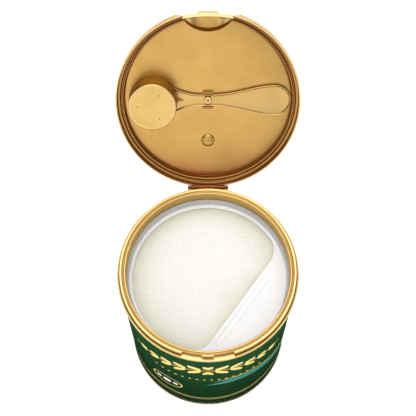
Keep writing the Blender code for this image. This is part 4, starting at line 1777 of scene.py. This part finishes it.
@dataclass
class Scoop:
    """The scoop in its clip: the bowl's mouth lies on the lid's face.

    Attributes:
        mouth: the height of the bowl's mouth above the lid's rim.
        bowl_x: where the bowl's axis is.
        mouth_radius: the bowl's outer radius at its mouth.
        bottom_radius: its outer radius at the bottom.
        bowl_height: its height.
        wall: its thickness.
        thickness: the handle's thickness, lip included.
        lip_width: the width of the lip round the handle.
        lip_height: the lip's height.
        neck_half: half of the neck's width.
        neck_end: where the neck starts to flare towards the bowl.
        paddle_x: the middle of the paddle's round end.
        paddle_radius: its radius.
        flare: how far the neck has widened after the flare's length.
        flare_length: the length that the flare is measured over.
        pips: the places of the pips from the bowl's axis.
        steps: how many steps go round the bowl.
    """

    mouth: float = 0.0071
    bowl_x: float = -0.0393
    mouth_radius: float = 0.0176
    bottom_radius: float = 0.0170
    bowl_height: float = 0.0170
    wall: float = 0.0013
    thickness: float = 0.0023
    lip_width: float = 0.0010
    lip_height: float = 0.0009
    neck_half: float = 0.0043
    neck_end: float = -0.0040
    flare: float = 0.0050
    flare_length: float = 0.0200
    paddle_x: float = 0.0481
    paddle_radius: float = 0.0114
    pips: tuple[tuple[float, float], ...] = ((0.0049, -0.0086), (-0.0103, 0.0), (0.0049, 0.0086))
    steps: int = 160

    def build(self, place: Placement, material: bpy.types.Material) -> None:
        """Build the bowl, the handle, the rib and the pips as one piece.

        Args:
            place: the placement.
            material: its gold.
        """
        patches = [self._bowl(), self._handle(), self._rib(), *self._pips()]
        piece = make_open_piece("scoop_body", patches, place, self._shade)
        declare(piece, Body.LID, Slot.GOLD, material, "scoop")

    def _shade(self, x: Array, y: Array, height: Array) -> Array:
        """Paint shade on the bowl's side, handle's edge and pips, and highlight on the bowl's lower rim.

        The handle's painted shade goes by how far a place is in from its outline, the bowl's by its own
        radius.

        Args:
            x: places along the handle.
            y: places across it.
            height: heights above the closed lid's rim.

        Returns:
            The painted shade, from -1 for brown shade to 1 for pale highlight.
        """
        reach = np.hypot(x - self.bowl_x, y)
        low = self.mouth - self.bowl_height
        bowl = reach < self.mouth_radius + 0.0002
        outside = reach > self.bottom_radius - 0.0004
        side = bowl * outside * smooth_step(height, low + 0.0004, low + 0.0014)
        rim = bowl * band(reach, self.bottom_radius - 0.0010, self.bottom_radius, 0.0004)
        rim *= height < low + 0.0004
        pip = height < low - 0.00005
        off_spine = np.hypot(np.maximum(x - self.paddle_x, 0.0), y)
        inward = self._half_width(np.minimum(x, self.paddle_x)) - off_spine
        lip_top = self.mouth - self.thickness
        edge = (inward < 0.0002) * smooth_step(height, lip_top + 0.0001, lip_top + 0.0006)
        lip = band(inward, 0.0002, self.lip_width * 0.7, 0.0001) * (height < lip_top + 0.0002)
        below = height < self.mouth - 0.0006
        inner = band(inward, self.lip_width * 0.84, self.lip_width + 0.0004, 0.0001) * below
        plate = (inward > self.lip_width + 0.0004) * below
        # painted highlight on the lip, painted shade on the edge, inside the lip and on the plate
        handle = 0.3 * lip - 0.75 * edge - 0.8 * inner - 0.1 * plate
        # painted highlight on the bowl's lower rim, painted shade on its side and the pips
        return np.clip(0.35 * rim - 0.45 * side - 0.9 * pip + handle * ~bowl, -1.0, 1.0)

    def _bowl(self) -> Patch:
        """Turn the bowl: outside from the bottom's middle up to the mouth, then inside back down.

        Returns:
            The bowl's grid.
        """
        low, edge = self.mouth - self.bowl_height, 0.0006
        section = soften(np.array([
            [0.0, low],
            [self.bottom_radius - 0.0016, low],
            [self.bottom_radius - edge, low],
            [self.bottom_radius, low + edge],
            [self.mouth_radius, self.mouth],
            [self.mouth_radius - self.wall, self.mouth],
            [self.bottom_radius - self.wall, low + 2 * self.wall],
            [self.bottom_radius - 2 * self.wall, low + self.wall],
            [0.0, low + self.wall],
        ]), 0.0005, 5, closed=False)
        return Patch(revolve(section, even_turn(self.steps), (self.bowl_x, 0.0)))

    def _half_width(self, x: Array) -> Array:
        """Give half of the handle's width along it.

        Towards the bowl the neck grows by a power of the distance; towards the paddle it grows along half
        a cosine wave.

        Args:
            x: places along the handle.

        Returns:
            The half widths.
        """
        back = np.maximum((self.neck_end - x) / self.flare_length, 0.0)
        along = np.clip(x / self.paddle_x, 0.0, 1.0)
        grown = (1 - np.cos(math.pi * along ** 1.15)) / 2
        return self.neck_half + self.flare * back ** 2.2 + (self.paddle_radius - self.neck_half) * grown

    def _handle(self) -> Patch:
        """Shape the handle: a cross-section from its spine out to its edge, carried round its outline.

        The outline runs along one side, round the paddle, back along the other side and inside the
        bowl's wall. Each place on the cross-section is a distance in from the outline towards the spine.

        Returns:
            The handle's grid.
        """
        root_radius = self.mouth_radius - self.wall / 2
        root_angle = math.radians(40.0)
        root_x = self.bowl_x + root_radius * math.cos(root_angle)
        x = np.linspace(root_x, self.paddle_x, 90)[:-1]
        width = self._half_width(x)
        swing = np.linspace(-math.pi / 2, math.pi / 2, 60)
        end_x = self.paddle_x + self.paddle_radius * np.cos(swing)
        end_y = self.paddle_radius * np.sin(swing)
        back = np.linspace(root_angle, -root_angle, 24)[1:-1]
        root = np.stack([self.bowl_x + root_radius * np.cos(back), root_radius * np.sin(back)], axis=-1)
        outline = np.concatenate([np.stack([x, -width], axis=-1), np.stack([end_x, end_y], axis=-1),
                                  np.stack([x[::-1], width[::-1]], axis=-1), root])
        spine_start = self.bowl_x + root_radius + 0.0004
        spine_x = np.clip(outline[:, 0], spine_start, self.paddle_x)
        spine = np.stack([spine_x, np.zeros(len(outline))], axis=-1)
        reach = np.linalg.norm(spine - outline, axis=-1)[:, None]
        high, low = self.mouth, self.mouth - self.thickness
        floor = low + self.lip_height
        across = soften(np.array([
            [0.0200, floor], [self.lip_width + 0.0004, floor], [self.lip_width * 0.85, low + 0.0003],
            [self.lip_width * 0.6, low], [0.0003, low], [0.0, low + 0.0004], [0.0, high - 0.0003],
            [0.0003, high], [0.0200, high]]), 0.0003, 4, closed=False)
        share = np.minimum(across[None, :, 0] / np.maximum(reach, 1e-6), 1.0)[..., None]
        place = outline[:, None] + (spine - outline)[:, None] * share
        height = np.broadcast_to(across[None, :, 1:], (*place.shape[:2], 1))
        return Patch(np.concatenate([place, height], axis=-1))

    def _rib(self) -> Patch:
        """Shape the small rib beside the bowl: a triangle with rounded corners, carried along Y.

        Returns:
            The rib's grid.
        """
        length, height = 0.0050, 0.0046
        top = self.mouth - self.thickness / 2
        near = self.bowl_x + self.mouth_radius - self.wall / 2
        triangle = soften(np.array([[near, top], [near + length, top], [near, top - height]]), 0.0003)
        grid = bar(triangle, 0.00055, 0.0002)
        return Patch(grid[..., [1, 0, 2]], around=False, looped=True)

    def _pips(self) -> list[Patch]:
        """Turn the three tiny pips on the bowl's bottom.

        Returns:
            The pips' grids.
        """
        low = self.mouth - self.bowl_height
        section = soften(np.array([[0.0, low + 0.0003], [0.0006, low + 0.0003], [0.0005, low - 0.00015],
                                   [0.0, low - 0.0002]]), 0.0002, 3, closed=False)
        return [Patch(revolve(section, even_turn(16), (self.bowl_x + x, y))) for x, y in self.pips]


@dataclass
class Studio:
    """The camera, the lights and the plain floor.

    Attributes:
        focal: the focal length in pixels of an image 416 pixels wide.
        back: how far the camera stands in front of the tin's axis.
        height: its height.
        pitch: how far it looks down, in radians.
        image_width: the width of that image.
        sensor: the camera's sensor width, in millimetres.
        zenith: the dome's strength overhead.
        horizon: the share of it along the horizon.
        warm: the share of it a little above the horizon, as a warm colour.
        dim: the share of it where the dome starts to brighten towards its top.
        dome_from: the height of that place, from 0 on the horizon to 1 overhead.
    """

    focal: float = 1000.0
    image_width: float = 416.0
    back: float = 0.22858
    height: float = 0.83870
    pitch: float = math.radians(67.78)
    sensor: float = 36.0
    zenith: float = 1.83
    horizon: float = 0.5
    dim: float = 0.065
    warm: Colour = (0.065, 0.040, 0.024)
    dome_from: float = 0.55

    def build(self, place: Placement) -> None:
        """Set up the camera, the world, the lights and the floor.

        Args:
            place: the placement.
        """
        self._camera(place)
        self._world()
        lights = [
            ("front_light", (-0.15, -1.30, 0.75), 0.9, 4.5),
            ("top_light", (-0.10, 0.45, 1.55), 0.5, 2.4),
            ("back_light", (0.10, 1.50, 1.00), 1.2, 4.0),
            ("left_light", (-1.15, -0.60, 0.80), 0.7, 2.6),
            ("right_light", (1.15, -0.60, 0.80), 0.7, 2.6),
        ]
        for name, (x, y, z), size, power in lights:
            self._light(name, (x, place.axis_y + y, z), size, power)
        self._floor()
        bpy.context.scene.view_settings.view_transform = "Standard"

    def _camera(self, place: Placement) -> None:
        """Stand the camera where the photograph's was.

        Args:
            place: the placement.
        """
        data = bpy.data.cameras.new("camera")
        data.sensor_width = self.sensor
        data.lens = self.focal / self.image_width * self.sensor
        data.clip_start = 0.01
        camera = bpy.data.objects.new("camera", data)
        camera.location = (0.0, place.axis_y - self.back, self.height)
        camera.rotation_euler = (math.pi / 2 - self.pitch, 0.0, 0.0)
        bpy.context.scene.collection.objects.link(camera)
        bpy.context.scene.camera = camera

    def _world(self) -> None:
        """Light the scene with a dome: white overhead, dim and warm lower down, pale along the horizon.

        A ramp over the height of a direction, from 0 on the horizon to 1 overhead, gives its colour.
        """
        graph = Graph(bpy.data.worlds.new("studio"), "Background")
        place = graph.node("ShaderNodeTexCoord").outputs["Generated"]
        height = graph.node("ShaderNodeSeparateXYZ", {}, {0: place}).outputs["Z"]
        pale = (self.horizon, self.horizon, self.horizon)
        dim = (self.dim, self.dim, self.dim)
        stops = [(0.0, pale), (0.10, pale), (0.20, self.warm), (self.dome_from, dim), (1.0, (1.0, 1.0, 1.0))]
        ramp = graph.node("ShaderNodeValToRGB", {"stops": stops}, {0: height})
        bpy.context.scene.world = graph.set(Color=ramp.outputs["Color"], Strength=self.zenith)

    def _light(self, name: str, place: tuple[float, float, float], size: float, power: float) -> None:
        """Hang a square soft light that looks at the tin's upper half.

        Args:
            name: the light's name.
            place: its position.
            size: the side of the square.
            power: its power in watts.
        """
        target = Vector((0.0, 0.0, 0.12))
        data = bpy.data.lights.new(name, "AREA")
        data.size = size
        data.energy = power
        light = bpy.data.objects.new(name, data)
        light.location = place
        light.rotation_euler = (target - Vector(place)).to_track_quat("-Z", "Y").to_euler()
        bpy.context.scene.collection.objects.link(light)

    def _floor(self) -> None:
        """Lay a wide pale floor."""
        half = 14.0
        mesh = bpy.data.meshes.new("floor")
        corners = [(-half, -half, 0.0), (half, -half, 0.0), (half, half, 0.0), (-half, half, 0.0)]
        mesh.from_pydata(corners, [], [(0, 1, 2, 3)])
        floor = bpy.data.objects.new("floor", mesh)
        bpy.context.scene.collection.objects.link(floor)
        graph = Graph.of_material("floor_paper")
        floor.data.materials.append(graph.set(Base_Color=linear(250, 250, 250), Roughness=0.9,
                                              Emission_Color=linear(255, 255, 255), Emission_Strength=0.4))


def main() -> None:
    """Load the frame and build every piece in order."""
    logging.basicConfig(level=logging.INFO, format="%(name)s: %(message)s")
    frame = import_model()
    place = Placement.from_frame(frame)
    # pale is the same gold painted paler, as painted light on the collar and the scoop
    moulded, pale = MOULDED_GOLD.make(), BRIGHTER_LIT_GOLD.make()
    CanBody().build(place)
    Collar().build(place, pale)
    leveller = Leveller()
    leveller.build(place)
    Powder().build(place, leveller.mouth)
    Lid().build(place, moulded)
    Scoop().build(place, pale)
    Studio().build(place)


if __name__ == "__main__":
    main()
